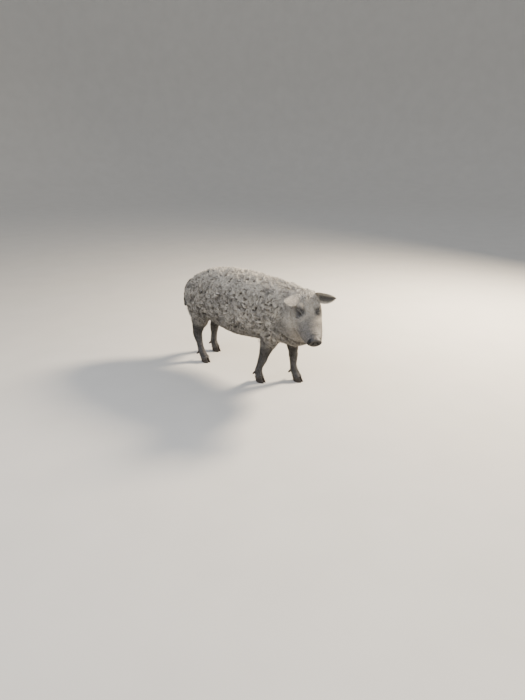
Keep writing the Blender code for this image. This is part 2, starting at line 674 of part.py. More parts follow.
def build_head(grow, neck, rng):
    """The head's pieces, cut in its own frame and then hung from the poll."""
    skull = head_solid(grow, 0.0050, 3, 1500, neck)
    jaw = boolean(swollen(skull, -0.0025), "INTERSECT", [jaw_block("jaw_cell")])
    boolean(skull, "UNION", clumps_on(skull, rng, CLUMP_SPACING, cheek_coat))
    thinned(skull, 1500)
    ears = [
        node(boolean(ear("ear", side), "DIFFERENCE", [swollen(skull, 1.6 * GAP)]), name, "ear")
        for side, name in ((1, "ear_left"), (-1, "ear_right"))
    ]
    boolean(skull, "UNION", [lid("lid", side, upper) for side in (1, -1) for upper in (True, False)])
    room = [EYE_RADIUS + 1.5 * GAP] * 3
    sockets = [ellipsoid("socket", mirrored(EYE, side), room, 14, 8) for side in (1, -1)]
    boolean(skull, "DIFFERENCE", sockets)
    boolean(skull, "DIFFERENCE", [jaw_block("jaw_room", GAP)])
    front = box("front", (SNOUT_CUT, -0.3, -0.4), (0.8, 0.3, 0.4))
    boolean(skull, "DIFFERENCE", [front])
    boolean(jaw, "DIFFERENCE", [box("front", (SNOUT_CUT - 0.022, -0.3, -0.4), (0.8, 0.3, 0.4))])
    eyes = [ellipsoid("eye", mirrored(EYE, side), [EYE_RADIUS] * 3, 14, 8) for side in (1, -1)]
    made = [node(snout_disc(), "snout", "snout")]
    made += [node(eye, name, "eye") for eye, name in zip(eyes, ("eye_left", "eye_right"))]
    for obj in [skull, jaw, *ears, *made]:
        obj.data.transform(head_matrix())
    for obj, name in ((jaw, "jaw"), (skull, "head")):
        node(boolean(obj, "INTERSECT", [head_block("head_cell")]), name, name)


def build_feet(lower_legs):
    """Two claws and two dewclaws on each foot."""
    for leg, (keys, side, free) in LEGS.items():
        rows = leg_rows(keys, side, FOOT_SHIFT[leg], free)
        foot = rows[-1]
        heights = rows[::-1, 2]
        spot = np.array([np.interp(DEWCLAW_HEIGHT, heights, rows[::-1, k]) for k in range(6)])
        for label, inner in (("left", 1), ("right", -1)):
            node(claw("claw", foot[0], foot[1], inner), f"{leg}_claw_{label}", "claw")
            off_axis = inner * DEWCLAW_SPREAD * 0.8
            root = np.array((spot[0] - spot[5] * 0.55, spot[1] + off_axis, DEWCLAW_HEIGHT))
            horn = dewclaw("dewclaw", root, inner)
            boolean(horn, "DIFFERENCE", [swollen(lower_legs[leg], 1.6 * GAP)])
            node(horn, f"{leg}_dewclaw_{label}", "dewclaw")


def cheek_coat(point):
    """Small curls on the cheeks and the jowl, in the head's own frame."""
    front = 0.080 - 0.3 * (point.z + 0.05)
    if not (-0.010 < point.x < front and -0.195 < point.z < -0.045):
        return None
    return CHEEK_SHARE, 0.0095, Vector((-1.0, 0.0, -0.5)), 0.5 * math.sin(40 * point.z), 1.0


def tail_coat(point):
    """The brush that hangs from the tail's lower half."""
    if point.z > 0.555:
        return None
    return TAIL_SHARE, 0.011, Vector((0.0, 0.0, -1.0)), 0.0, 0.4


def body_coat():
    """What the clumps of trunk, neck and thighs need: none on the head, lower legs, or by the tail."""
    rows = {"trunk": (between(TRUNK, 3), None)}
    for leg, (keys, side, free) in LEGS.items():
        rows[leg] = (leg_rows(keys, side, FOOT_SHIFT[leg], free), np.array((0.0, 1.0, 0.0)))
    depth = coat_of(rows)
    to_head = head_matrix().inverted()
    tail_root = Vector((-0.665, -0.006, 0.600))

    def choose(point):
        local = to_head @ point
        face = local.x > -0.05 and local.z > -0.26
        if point.z < CLUMP_FLOOR or (point - tail_root).length < 0.055 or face:
            return None
        flow, sway = lie(point)
        share = 1.0 - (1.0 - LEG_SHARE) * min(max((0.40 - point.z) / 0.12, 0.0), 1.0)
        if local.x > -0.16 or point.z > 0.70:
            share *= 0.86
        rise = depth(point) * (1 - CORE_SHARE)
        if point.x > -0.02 and 0.38 < point.z < 0.60:
            return share, rise, flow, 0.4 * sway, 0.6
        return share, rise, flow, sway, 1.0

    return choose


def build():
    for obj in list(bpy.data.objects):
        bpy.data.objects.remove(obj)
    grow = CORE_SHARE
    rng = np.random.default_rng(SEED)
    neck = loft("neck_loft", rings_of(between(TRUNK, 3)[24:], grow, 32, roof=ROOF))
    neck.data.transform(head_matrix().inverted())
    build_head(grow, neck, rng)

    skull = loft("skull", rings_of(between(HEAD, 3), grow, 32, jowl=JOWL))
    skull.data.transform(head_matrix())
    body = body_mesh(grow, 0.0110, 3, 2600, skull)
    tail_rows = between(TAIL, 2)
    tail_hair = loft("tail", rings_of(tail_rows, 0.0, 8))
    tail_rng = np.random.default_rng(TAIL_SEED)
    boolean(tail_hair, "UNION", clumps_on(tail_hair, tail_rng, CLUMP_SPACING, tail_coat))
    node(tail_hair, "tail", "tail")
    tail_rows[:, 6] = 1.0
    ahead = tail_rows[0] + (tail_rows[0] - tail_rows[1]) * 0.02
    tail_room = loft("tail_room", rings_of(np.vstack([ahead, tail_rows]), 1.6 * GAP, 8))
    boolean(body, "UNION", clumps_on(body, rng, CLUMP_SPACING, body_coat()))
    thinned(body, 9900)
    boolean(body, "DIFFERENCE", [tail_room])

    lower_legs, rooms = {}, []
    for leg, (keys, side, free) in LEGS.items():
        low_x, high_x, inner, outer, joint = LEG_CELL[leg[:4]]
        cell = leg_block("cell", side, low_x, high_x, inner, outer, joint)
        node(boolean(copy_of(body, leg), "INTERSECT", [cell]), f"{leg}_upper", "upper")
        low, high = sorted((0.01 * side, 0.40 * side))
        cell = box("cell", (low_x[0], low, CORONET), (low_x[1], high, joint - GAP))
        lower_legs[leg] = node(boolean(copy_of(body, leg), "INTERSECT", [cell]), f"{leg}_lower", "lower")
        rooms.append(leg_block("room", side, low_x, high_x, inner, outer, joint, GAP))
        rooms.append(box("room", (low_x[0], low, -0.2), (low_x[1], high, joint + 0.001)))
    build_feet(lower_legs)

    neck_node = boolean(copy_of(body, "neck"), "INTERSECT", [neck_block("cell")])
    node(boolean(neck_node, "DIFFERENCE", [head_block("room", GAP)]), "neck", "neck")
    rooms.append(neck_block("room", GAP))
    node(boolean(body, "DIFFERENCE", rooms), "torso", "torso")
    centre_on_floor()


def centre_on_floor():
    """Moves every node so that the whole stands on z = 0 with its box centred on the origin."""
    spots = np.array([vertex.co for obj in bpy.data.objects for vertex in obj.data.vertices])
    low, high = spots.min(axis=0), spots.max(axis=0)
    shift = Vector((-(low[0] + high[0]) / 2, -(low[1] + high[1]) / 2, -low[2]))
    for obj in bpy.data.objects:
        obj.data.transform(Matrix.Translation(shift))


build()
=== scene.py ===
# %% [markdown]
# # A mangalica pig at life size
# This lesson dresses the solid model of a curly-haired pig: one skin over trunk, head and legs, a coat of
# many thousand small curved tufts, and its eyes, claws and snout. The solids come first, as a fixed frame
# that says where everything is. Every piece that is made here has to stay where the frame has it.

# %% Load the frame
import math
from collections import namedtuple

import bpy
import numpy as np
from mathutils import Matrix, Vector
from mathutils.bvhtree import BVHTree
from mathutils.kdtree import KDTree


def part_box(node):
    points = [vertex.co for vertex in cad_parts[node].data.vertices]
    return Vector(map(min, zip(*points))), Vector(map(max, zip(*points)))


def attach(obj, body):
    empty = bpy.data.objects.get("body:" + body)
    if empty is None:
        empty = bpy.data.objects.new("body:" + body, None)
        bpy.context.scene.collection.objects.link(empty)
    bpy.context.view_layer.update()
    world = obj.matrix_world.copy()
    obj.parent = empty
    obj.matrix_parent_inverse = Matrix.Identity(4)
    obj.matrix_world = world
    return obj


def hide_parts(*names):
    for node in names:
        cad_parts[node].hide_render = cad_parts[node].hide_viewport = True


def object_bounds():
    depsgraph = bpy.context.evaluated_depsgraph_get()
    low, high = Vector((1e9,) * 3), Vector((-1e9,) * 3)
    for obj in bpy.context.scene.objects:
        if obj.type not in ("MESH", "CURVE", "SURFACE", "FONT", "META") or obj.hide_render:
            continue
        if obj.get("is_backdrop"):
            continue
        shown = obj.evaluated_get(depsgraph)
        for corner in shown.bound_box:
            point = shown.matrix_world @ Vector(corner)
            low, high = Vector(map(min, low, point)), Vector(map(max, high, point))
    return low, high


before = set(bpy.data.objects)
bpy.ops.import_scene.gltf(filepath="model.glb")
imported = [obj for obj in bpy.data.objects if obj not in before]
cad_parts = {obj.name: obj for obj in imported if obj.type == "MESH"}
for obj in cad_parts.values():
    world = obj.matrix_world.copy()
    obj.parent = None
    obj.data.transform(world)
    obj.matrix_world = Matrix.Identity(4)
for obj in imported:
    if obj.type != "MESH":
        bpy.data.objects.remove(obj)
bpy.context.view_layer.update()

# %% [markdown]
# ## Stations of the body
# A pig's trunk is a barrel whose width, back line and belly line change slowly, so it can be told by a few
# stations and a smooth curve through them. The solids were made from these same stations. A polygon model
# sculpted by eye would drift from the solids, so the numbers are repeated here and the skin starts from them.

# %% Stations: centre, half width, reach above and below, and how deep the coat is
Station = namedtuple("Station", "x y z half up down coat")
TRUNK = [
    Station(-0.672, 0.000, 0.492, 0.045, 0.054, 0.066, 0.014),
    Station(-0.645, 0.000, 0.495, 0.100, 0.092, 0.112, 0.020),
    Station(-0.572, 0.000, 0.508, 0.152, 0.147, 0.150, 0.024),
    Station(-0.460, 0.000, 0.526, 0.180, 0.186, 0.178, 0.026),
    Station(-0.320, 0.000, 0.536, 0.184, 0.207, 0.212, 0.028),
    Station(-0.160, 0.000, 0.537, 0.200, 0.217, 0.242, 0.030),
    Station(-0.010, 0.000, 0.530, 0.206, 0.221, 0.229, 0.030),
    Station(0.130, 0.000, 0.528, 0.202, 0.213, 0.209, 0.030),
    Station(0.240, 0.000, 0.532, 0.192, 0.202, 0.204, 0.030),
    Station(0.330, -0.006, 0.540, 0.175, 0.190, 0.203, 0.028),
    Station(0.405, -0.025, 0.548, 0.152, 0.174, 0.209, 0.026),
    Station(0.465, -0.055, 0.560, 0.134, 0.160, 0.195, 0.024),
    Station(0.515, -0.088, 0.572, 0.122, 0.144, 0.166, 0.020),
    Station(0.558, -0.120, 0.584, 0.106, 0.124, 0.125, 0.018),
]
ROOF, JOWL = 0.16, 0.30
FORE_LEG = [
    Station(0.280, 0.108, 0.530, 0.078, 0.110, 0.110, 0.026),
    Station(0.272, 0.116, 0.430, 0.064, 0.092, 0.094, 0.024),
    Station(0.264, 0.112, 0.360, 0.048, 0.064, 0.068, 0.018),
    Station(0.264, 0.110, 0.290, 0.037, 0.043, 0.046, 0.012),
    Station(0.268, 0.107, 0.225, 0.029, 0.033, 0.033, 0.008),
    Station(0.270, 0.105, 0.185, 0.030, 0.034, 0.032, 0.006),
    Station(0.270, 0.102, 0.125, 0.023, 0.024, 0.026, 0.004),
    Station(0.275, 0.100, 0.080, 0.026, 0.028, 0.030, 0.003),
    Station(0.298, 0.098, 0.040, 0.029, 0.031, 0.026, 0.002),
]
HIND_LEG = [
    Station(-0.460, 0.095, 0.550, 0.090, 0.130, 0.130, 0.026),
    Station(-0.470, 0.112, 0.450, 0.076, 0.122, 0.118, 0.024),
    Station(-0.480, 0.115, 0.375, 0.056, 0.090, 0.086, 0.020),
    Station(-0.508, 0.118, 0.305, 0.040, 0.055, 0.054, 0.014),
    Station(-0.532, 0.118, 0.250, 0.030, 0.037, 0.040, 0.009),
    Station(-0.542, 0.117, 0.210, 0.029, 0.035, 0.040, 0.006),
    Station(-0.536, 0.115, 0.145, 0.023, 0.026, 0.027, 0.004),
    Station(-0.530, 0.113, 0.080, 0.026, 0.028, 0.030, 0.003),
    Station(-0.506, 0.112, 0.040, 0.029, 0.031, 0.026, 0.002),
]
FOOT_SHIFT = {"fore_right": -0.160, "fore_left": 0.030, "hind_right": 0.060, "hind_left": -0.060}
LEGS = {
    "fore_left": (FORE_LEG, 1, 0.38),
    "fore_right": (FORE_LEG, -1, 0.38),
    "hind_left": (HIND_LEG, 1, 0.40),
    "hind_right": (HIND_LEG, -1, 0.40),
}
CORONET, CLAW_HALF, CLAW_SPLIT = 0.040, 0.0140, 0.0022
CLAW_TOE, CLAW_HEEL, CORONET_TOE, CORONET_HEEL = 0.056, -0.016, 0.032, -0.027
DEWCLAW_HEIGHT, DEWCLAW_LENGTH, DEWCLAW_RADIUS, DEWCLAW_SPREAD = 0.078, 0.036, 0.0085, 0.016
TAIL = [
    Station(-0.610, 0.000, 0.590, 0.018, 0.018, 0.018, 0),
    Station(-0.665, -0.006, 0.602, 0.016, 0.016, 0.016, 0),
    Station(-0.704, -0.028, 0.576, 0.014, 0.014, 0.014, 0),
    Station(-0.712, -0.052, 0.522, 0.012, 0.012, 0.012, 0),
    Station(-0.704, -0.066, 0.465, 0.010, 0.010, 0.010, 0),
    Station(-0.690, -0.078, 0.412, 0.008, 0.008, 0.008, 0),
]

# %% [markdown]
# ## The head's own frame
# The head hangs from the poll, turned to the pig's right and dropped. It is far easier to model it straight,
# nose along x, and to turn it at the end, so its stations, eyes and ears are written in that frame.

# %% Stations and places in the head's frame
HEAD_TURN, HEAD_DROP = math.radians(-38.0), math.radians(29.0)
POLL = Vector((0.550, -0.100, 0.705))
HEAD = [
    Station(-0.060, 0.0, -0.080, 0.086, 0.085, 0.100, 0.012),
    Station(0.000, 0.0, -0.070, 0.096, 0.106, 0.126, 0.012),
    Station(0.050, 0.0, -0.066, 0.096, 0.104, 0.135, 0.008),
    Station(0.095, 0.0, -0.065, 0.091, 0.086, 0.128, 0.006),
    Station(0.140, 0.0, -0.068, 0.083, 0.064, 0.114, 0.004),
    Station(0.190, 0.0, -0.070, 0.075, 0.049, 0.099, 0.003),
    Station(0.240, 0.0, -0.070, 0.066, 0.043, 0.082, 0.002),
    Station(0.285, 0.0, -0.067, 0.054, 0.039, 0.061, 0.001),
    Station(0.318, 0.0, -0.063, 0.041, 0.034, 0.041, 0.001),
]
CHEEK = (Vector((0.040, 0.054, -0.125)), Vector((0.090, 0.052, 0.072)))
BROW = (Vector((0.086, 0.052, 0.010)), Vector((0.036, 0.022, 0.017)))
EYE, EYE_RADIUS = Vector((0.114, 0.0555, -0.020)), 0.0125
EYE_LOOK = Vector((0.42, 0.84, 0.34)).normalized()
LID_WIDTH, LID_HEIGHT, LID_THICK = 0.0185, 0.0135, 0.0042
SNOUT_CUT, MOUTH_LEVEL, MOUTH_CORNER = 0.312, -0.096, 0.160
# below these heights a point in front of the poll is part of a foreleg, not of head, face or snout
HEAD_FLOOR, FACE_FLOOR, SNOUT_FLOOR = -0.26, -0.24, -0.20
SNOUT_HALF, SNOUT_TOP, SNOUT_BOTTOM, SNOUT_DEPTH = 0.0405, -0.0265, -0.0950, 0.026
NOSTRIL = Vector((0.345, 0.0165, -0.060))
EAR_ROOT = Vector((0.011, 0.051, 0.021))
EAR_AXIS = {1: Vector((0.29, 0.94, 0.25)), -1: Vector((0.54, -0.76, 0.34))}
EAR_HOLLOW = {1: Vector((0.90, -0.10, 0.15)), -1: Vector((0.21, -0.35, -1.02))}
EAR_LENGTH, EAR_WIDTH, EAR_THICK, EAR_CUP, EAR_DROOP = 0.139, 0.050, 0.0080, 0.60, 0.024

turned = Matrix.Rotation(HEAD_TURN, 4, "Z") @ Matrix.Rotation(HEAD_DROP, 4, "Y")
to_body = Matrix.Translation(POLL) @ turned
to_head = to_body.inverted()


def mirrored(v, side):
    return Vector((v.x, v.y * side, v.z))


# The frame was centred on its box after it was made: the eyes tell by how much
eye_centres = [sum(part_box(name), Vector()) / 2 for name in ("eye_left", "eye_right")]
wanted = [to_body @ mirrored(EYE, side) for side in (1, -1)]
SHIFT = sum((found - want for found, want in zip(eye_centres, wanted)), Vector()) / 2
print("the frame lies", [round(1000 * k, 2) for k in SHIFT], "mm from the stations")

# %% [markdown]
# ## Camera, floor and light
# The picture was taken by a standing person about three and a half metres away, looking down on the pig.
# The light is soft everywhere, and the low sun behind on the right draws a pale rim along the back and ears.
# A studio can do the same: a large pale floor, a wide soft key behind on the right, and weaker fills.

# %% Camera
HEADING, PITCH = math.radians(43.0), math.radians(20.8)
ahead = Vector((-math.sin(HEADING), math.cos(HEADING), 0))
rightwards = Vector((math.cos(HEADING), math.sin(HEADING), 0))
look = ahead * math.cos(PITCH) - Vector((0, 0, math.sin(PITCH)))
bpy.ops.object.camera_add(location=Vector((0.08, 0, 1.575)) - 3.62 * ahead + SHIFT)
camera = bpy.context.object
camera.rotation_euler = look.to_track_quat("-Z", "Y").to_euler()
camera.data.sensor_width = 36
camera.data.lens = 36 * 526 / 700
bpy.context.scene.camera = camera
print("camera at", [round(k, 2) for k in camera.location], "lens", round(camera.data.lens, 2), "mm")


# %% Colours and nodes
def linear(code):
    """An sRGB hex colour as the linear values that a shader works with."""
    parts = [int(code[i : i + 2], 16) / 255 for i in (1, 3, 5)]
    return (*[c / 12.92 if c <= 0.04045 else ((c + 0.055) / 1.055) ** 2.4 for c in parts], 1.0)


def add(tree, kind, settings=None, links=None):
    """A new node: settings name its inputs or its own properties, links name the sockets that feed it."""
    node = tree.nodes.new("ShaderNode" + kind)
    for name, value in (settings or {}).items():
        if name == "stops":
            ramp = node.color_ramp.elements
            while len(ramp) < len(value):
                ramp.new(0.5)
            for element, (place, code) in zip(ramp, value):
                element.position = place
                element.color = linear(code)
        elif name in node.inputs:
            node.inputs[name].default_value = linear(value) if str(value).startswith("#") else value
        else:
            setattr(node, name, value)
    for name, socket in (links or {}).items():
        tree.links.new(socket, node.inputs[name])
    return node


def new_material(name):
    """A material with an empty tree but for its output and a Principled shader."""
    material = bpy.data.materials.new(name)
    material.use_nodes = True
    return material, material.node_tree, material.node_tree.nodes["Principled BSDF"]


# %% Floor that sweeps up far away
SWEEP = [(13.0, 0.0), (14.5, 0.12), (16.0, 0.55), (17.2, 1.4), (18.0, 2.6), (18.4, 4.2), (18.5, 7.0)]
bpy.ops.object.select_all(action="DESELECT")
bpy.ops.mesh.primitive_circle_add(vertices=96, radius=10, fill_type="NGON")
floor = bpy.context.object
floor.name = "studio_floor"
bpy.ops.object.mode_set(mode="EDIT")
bpy.ops.mesh.select_all(action="SELECT")
bpy.ops.mesh.region_to_loop()
radius, height = 10.0, 0.0
for wider, higher in SWEEP:
    bpy.ops.mesh.extrude_edges_move(TRANSFORM_OT_translate={"value": (0, 0, higher - height)})
    bpy.ops.transform.resize(value=(wider / radius, wider / radius, 1), center_override=(0, 0, 0))
    radius, height = wider, higher
bpy.ops.object.mode_set(mode="OBJECT")
bpy.ops.object.shade_smooth()
floor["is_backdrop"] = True
plaster, tree, surface = new_material("pale matt plaster")
place = add(tree, "TexCoord")
cloud = add(tree, "TexNoise", {"Scale": 3.0, "Detail": 3.0}, {"Vector": place.outputs["Object"]})
tint = add(tree, "ValToRGB", {"stops": [(0.3, "#c9c7c2"), (0.7, "#cdcbc6")]}, {"Fac": cloud.outputs["Fac"]})
tree.links.new(tint.outputs["Color"], surface.inputs["Base Color"])
surface.inputs["Roughness"].default_value = 0.9
floor.data.materials.append(plaster)

# %% World and lights
world = bpy.data.worlds.new("studio")
world.use_nodes = True
world.node_tree.nodes["Background"].inputs["Color"].default_value = linear("#e4e6ea")
world.node_tree.nodes["Background"].inputs["Strength"].default_value = 0.70
bpy.context.scene.world = world

centre = SHIFT + Vector((0.1, 0, 0.45))
LIGHTS = {
    "key": (centre + 3.2 * rightwards + 1.9 * ahead + Vector((0, 0, 2.5)), 1.1, 800, "#ffecd0"),
    "fill": (centre - 2.4 * rightwards - 2.2 * ahead + Vector((0, 0, 2.8)), 3.0, 90, "#eef3ff"),
    "front": (centre + 1.2 * rightwards - 3.2 * ahead + Vector((0, 0, 2.1)), 2.4, 60, "#ffffff"),
}
for name, (spot, size, power, code) in LIGHTS.items():
    bpy.ops.object.light_add(type="AREA", location=spot)
    light = bpy.context.object
    light.name = name
    light.rotation_euler = (centre - spot).to_track_quat("-Z", "Y").to_euler()
    light.data.shape = "DISK"
    light.data.size = size
    light.data.energy = power
    light.data.color = linear(code)[:3]
print("lights:", ", ".join(LIGHTS))


# %% [markdown]
# ## Tubes from stations
# Trunk, head, legs, tail and ears are all tubes whose section changes on the way. By hand one would draw a
# disc, extrude it again and again, and pull each new ring to its place. That is what `tube` does: the disc is
# extruded one unit at a time, and afterwards every point finds its ring by its height and its turn.

# %% Smooth curves, rings and tubes
def unit(v):
    return v / np.linalg.norm(v, axis=-1, keepdims=True)


def between(keys, steps):
    """Stations on a smooth curve through the keys, with so many steps from one key to the next."""
    rows = np.array(keys, float)
    padded = np.vstack([2 * rows[0] - rows[1], rows, 2 * rows[-1] - rows[-2]])
    found = []
    for a, b, c, d in zip(padded, padded[1:], padded[2:], padded[3:]):
        for t in np.arange(steps) / steps:
            bend = 2 * a - 5 * b + 4 * c - d
            found.append(0.5 * (2 * b + (c - a) * t + bend * t**2 + (3 * b - a - 3 * c + d) * t**3))
    return np.array(found + [rows[-1]])


def rings_of(rows, around, left_axis=None, roof=0.0, jowl=0.0):
    """Rings of points square to the path of the stations.

    The roof narrows the upper half to its top, and the jowl says how square the lower half is.
    """
    turns = np.linspace(0, 2 * math.pi, around, endpoint=False)
    across, along = np.cos(turns), np.sin(turns)
    power = np.where(along < 0, 1 - jowl, 1.0)
    across, along = [np.sign(part) * np.abs(part) ** power for part in (across, along)]
    rings = []
    for row, tangent in zip(rows, np.gradient(rows[:, :3], axis=0)):
        forward = unit(tangent)
        if left_axis is None:
            left = unit(np.cross((0, 0, 1), forward))
        else:
            left = unit(left_axis - forward * np.dot(left_axis, forward))
        reach = np.where(along > 0, row[4], row[5])
        half = row[3] * (1 - roof * np.maximum(along, 0) ** 2)
        third = np.cross(forward, left)
        rings.append(row[:3] + np.outer(across * half, left) + np.outer(along * reach, third))
    return rings


def leg_rows(leg):
    """The stations of one leg, leaning so that its foot stands where the pose has it."""
    keys, side, free = LEGS[leg]
    rows = between(keys, 2)
    rows[:, 1] *= side
    rows[:, 0] += FOOT_SHIFT[leg] * np.clip((free - rows[:, 2]) / (free - CORONET), 0, 1)
    return rows


def only(obj):
    """Selects this object alone and makes it the active one."""
    bpy.ops.object.select_all(action="DESELECT")
    obj.select_set(True)
    bpy.context.view_layer.objects.active = obj


def outwards(obj):
    bpy.context.view_layer.objects.active = obj
    bpy.ops.object.mode_set(mode="EDIT")
    bpy.ops.mesh.select_all(action="SELECT")
    bpy.ops.mesh.normals_make_consistent(inside=False)
    bpy.ops.object.mode_set(mode="OBJECT")


def tube(name, rings):
    """A closed tube: a disc is extruded once for each ring, and its points are then set on the rings."""
    around = len(rings[0])
    bpy.ops.object.select_all(action="DESELECT")
    bpy.ops.mesh.primitive_circle_add(vertices=around, radius=1, fill_type="TRIFAN")
    obj = bpy.context.object
    obj.name = name
    bpy.ops.object.mode_set(mode="EDIT")
    bpy.ops.mesh.select_all(action="SELECT")
    for _ in rings[1:]:
        bpy.ops.mesh.extrude_region_move(TRANSFORM_OT_translate={"value": (0, 0, 1)})
    bpy.ops.object.mode_set(mode="OBJECT")
    for vertex in obj.data.vertices:
        ring = rings[round(vertex.co.z)]
        turn = round(math.atan2(vertex.co.y, vertex.co.x) / (2 * math.pi) * around) % around
        vertex.co = ring[turn] if vertex.co.xy.length > 0.5 else np.mean(ring, axis=0)
    outwards(obj)
    return obj


def ball(name, centre, radii, segments=32, rings=20):
    bpy.ops.object.select_all(action="DESELECT")
    bpy.ops.mesh.primitive_uv_sphere_add(segments=segments, ring_count=rings, radius=1)
    obj = bpy.context.object
    obj.name = name
    obj.data.transform(Matrix.Translation(centre) @ Matrix.Diagonal((*radii, 1)))
    return obj


def modify(obj, kind, **settings):
    """Adds a modifier with its settings and applies it."""
    modifier = obj.modifiers.new(kind.lower(), kind)
    for name, value in settings.items():
        setattr(modifier, name, value)
    bpy.context.view_layer.objects.active = obj
    bpy.ops.object.modifier_apply(modifier=modifier.name)
    return obj


def join(name, pieces):
    bpy.ops.object.select_all(action="DESELECT")
    for piece in pieces:
        piece.select_set(True)
    bpy.context.view_layer.objects.active = pieces[0]
    bpy.ops.object.join()
    pieces[0].name = name
    return pieces[0]


def combine(obj, other, operation):
    """The Boolean of two closed pieces. The second is used up."""
    modify(obj, "BOOLEAN", operation=operation, solver="MANIFOLD", object=other)
    bpy.data.objects.remove(other)


def spots_of(obj):
    found = np.empty(3 * len(obj.data.vertices), np.float32)
    obj.data.vertices.foreach_get("co", found)
    return found.reshape(-1, 3).astype(float)


def normals_of(obj):
    found = np.empty(3 * len(obj.data.vertices), np.float32)
    obj.data.vertices.foreach_get("normal", found)
    return found.reshape(-1, 3).astype(float)


def place_spots(obj, spots):
    obj.data.vertices.foreach_set("co", spots.astype(np.float32).ravel())
    obj.data.update()


def in_head(points):
    """Points of the body's frame as the head's frame sees them."""
    turn = np.array(to_head)
    return points @ turn[:3, :3].T + turn[:3, 3]


def steps(value, low, high):
    """0 below low, 1 above high, and a smooth rise between."""
    t = np.clip((value - low) / (high - low), 0, 1)
    return t * t * (3 - 2 * t)


def bell(value, width):
    """1 at zero, falling off smoothly on both sides: about a third is left at the width."""
    return np.exp(-((value / width) ** 2))


def ripple(points, size, seed):
    """Smooth noise about zero, made of a few waves whose length is about the size given."""
    dice = np.random.default_rng(seed)
    total = np.zeros(len(points))
    for _ in range(5):
        wave = dice.normal(size=3) * 2 * math.pi / size / 1.7
        total += np.sin(points @ wave + dice.uniform(0, 6.3))
    return total / 2.2


# %% [markdown]
# ## The masses under the skin
# Trunk, skull, cheeks, brows, legs and tail overlap as plain closed shapes. A voxel remesh then melts them
# into one surface, and smoothing rounds the folds where they met: much on the trunk, little on the head.

# %% Masses
masses = [tube("trunk", rings_of(between(TRUNK, 3), 32, roof=ROOF))]
for leg in LEGS:
    rows = leg_rows(leg)
    run_on = 2 * rows[-1] - rows[-2]
    run_on[3:] = rows[-1][3:]
    masses.append(tube(leg, rings_of(np.vstack([rows, run_on]), 24, np.array((0.0, 1.0, 0.0)))))
masses.append(tube("tail", rings_of(between(TAIL, 3), 16)))
skull = [tube("skull", rings_of(between(HEAD, 3), 32, jowl=JOWL))]
for side in (1, -1):
    for label, (middle, radii) in (("cheek", CHEEK), ("brow", BROW)):
        skull.append(ball(label, mirrored(middle, side), radii))
for piece in skull:
    piece.data.transform(to_body)
skin = join("skin", masses + skull)
VOXEL = 0.0038
modify(skin, "REMESH", mode="VOXEL", voxel_size=VOXEL)
print("remeshed to", len(skin.data.polygons), "faces")

# %% Smoothing and thinning
spots = spots_of(skin)
local = in_head(spots)
on_head = steps(local[:, 0], -0.030, 0.030) * (local[:, 2] > HEAD_FLOOR)
soft = (0.30 + 0.70 * steps(spots[:, 2], 0.28, 0.42)) * (1 - 0.93 * on_head)
soft *= 1 - 0.85 * steps(-spots[:, 0], 0.655, 0.685)
coarse = steps(spots[:, 2], 0.24, 0.36) * (1 - on_head)
for label, weights in (("soft", soft), ("coarse", coarse)):
    group = skin.vertex_groups.new(name=label)
    for index, weight in enumerate(weights):
        group.add([index], float(weight), "REPLACE")
ROUNDS, KEPT_SHARE = 70, 0.22
modify(skin, "SMOOTH", factor=0.5, iterations=ROUNDS, vertex_group="soft")
modify(skin, "DECIMATE", ratio=KEPT_SHARE, vertex_group="coarse")
print("thinned to", len(skin.data.polygons), "faces")


# %% [markdown]
# ## The head
# A pig's face is told by its small deep eyes between heavy lids, the long muzzle that ends in a flat rooting
# disc, the shut mouth with its corner turned up, and the soft folds behind it. The surface is made finer
# around eyes, mouth and snout, and pressed in and out by small amounts measured from these places.

# %% Finer faces where the head needs them
def near(points, spot, radius):
    return np.linalg.norm(points - np.array(spot), axis=1) < radius


centres = np.empty(3 * len(skin.data.polygons), np.float32)
skin.data.polygons.foreach_get("center", centres)
centres = in_head(centres.reshape(-1, 3).astype(float))
wanted = (centres[:, 0] > 0.13) & (centres[:, 2] > FACE_FLOOR)
for side in (1, -1):
    wanted |= near(centres, mirrored(EYE, side), 0.050)
bpy.ops.object.select_all(action="DESELECT")
bpy.context.view_layer.objects.active = skin
bpy.ops.object.mode_set(mode="EDIT")
bpy.ops.mesh.select_mode(type="FACE")
bpy.ops.mesh.select_all(action="DESELECT")
bpy.ops.object.mode_set(mode="OBJECT")
skin.data.polygons.foreach_set("select", wanted)
bpy.ops.object.mode_set(mode="EDIT")
bpy.ops.mesh.subdivide(number_cuts=1, smoothness=0.6)
bpy.ops.mesh.select_all(action="SELECT")
bpy.ops.mesh.quads_convert_to_tris()
bpy.ops.object.mode_set(mode="OBJECT")
print("head made finer:", len(skin.data.polygons), "triangles")

# %% Orbits, mouth line, folds and wrinkles
# how far each form goes in or out, in metres
ORBIT, BAG, FURROW, FOLD, WRINKLE = 0.013, 0.0011, 0.0030, 0.0013, 0.0012
GROOVE, UPPER_LIP, LOWER_LIP, JAW_STEP, CHIN_BACK = 0.0050, 0.0024, 0.0016, 0.0045, 0.016
CORNER_RISE, CLEFT = 0.008, 0.0055


def mouth_line(x):
    """The level of the shut mouth in the head's frame. It turns up towards its corner."""
    return MOUTH_LEVEL + CORNER_RISE * np.clip((0.215 - x) / 0.055, 0, 1) ** 2


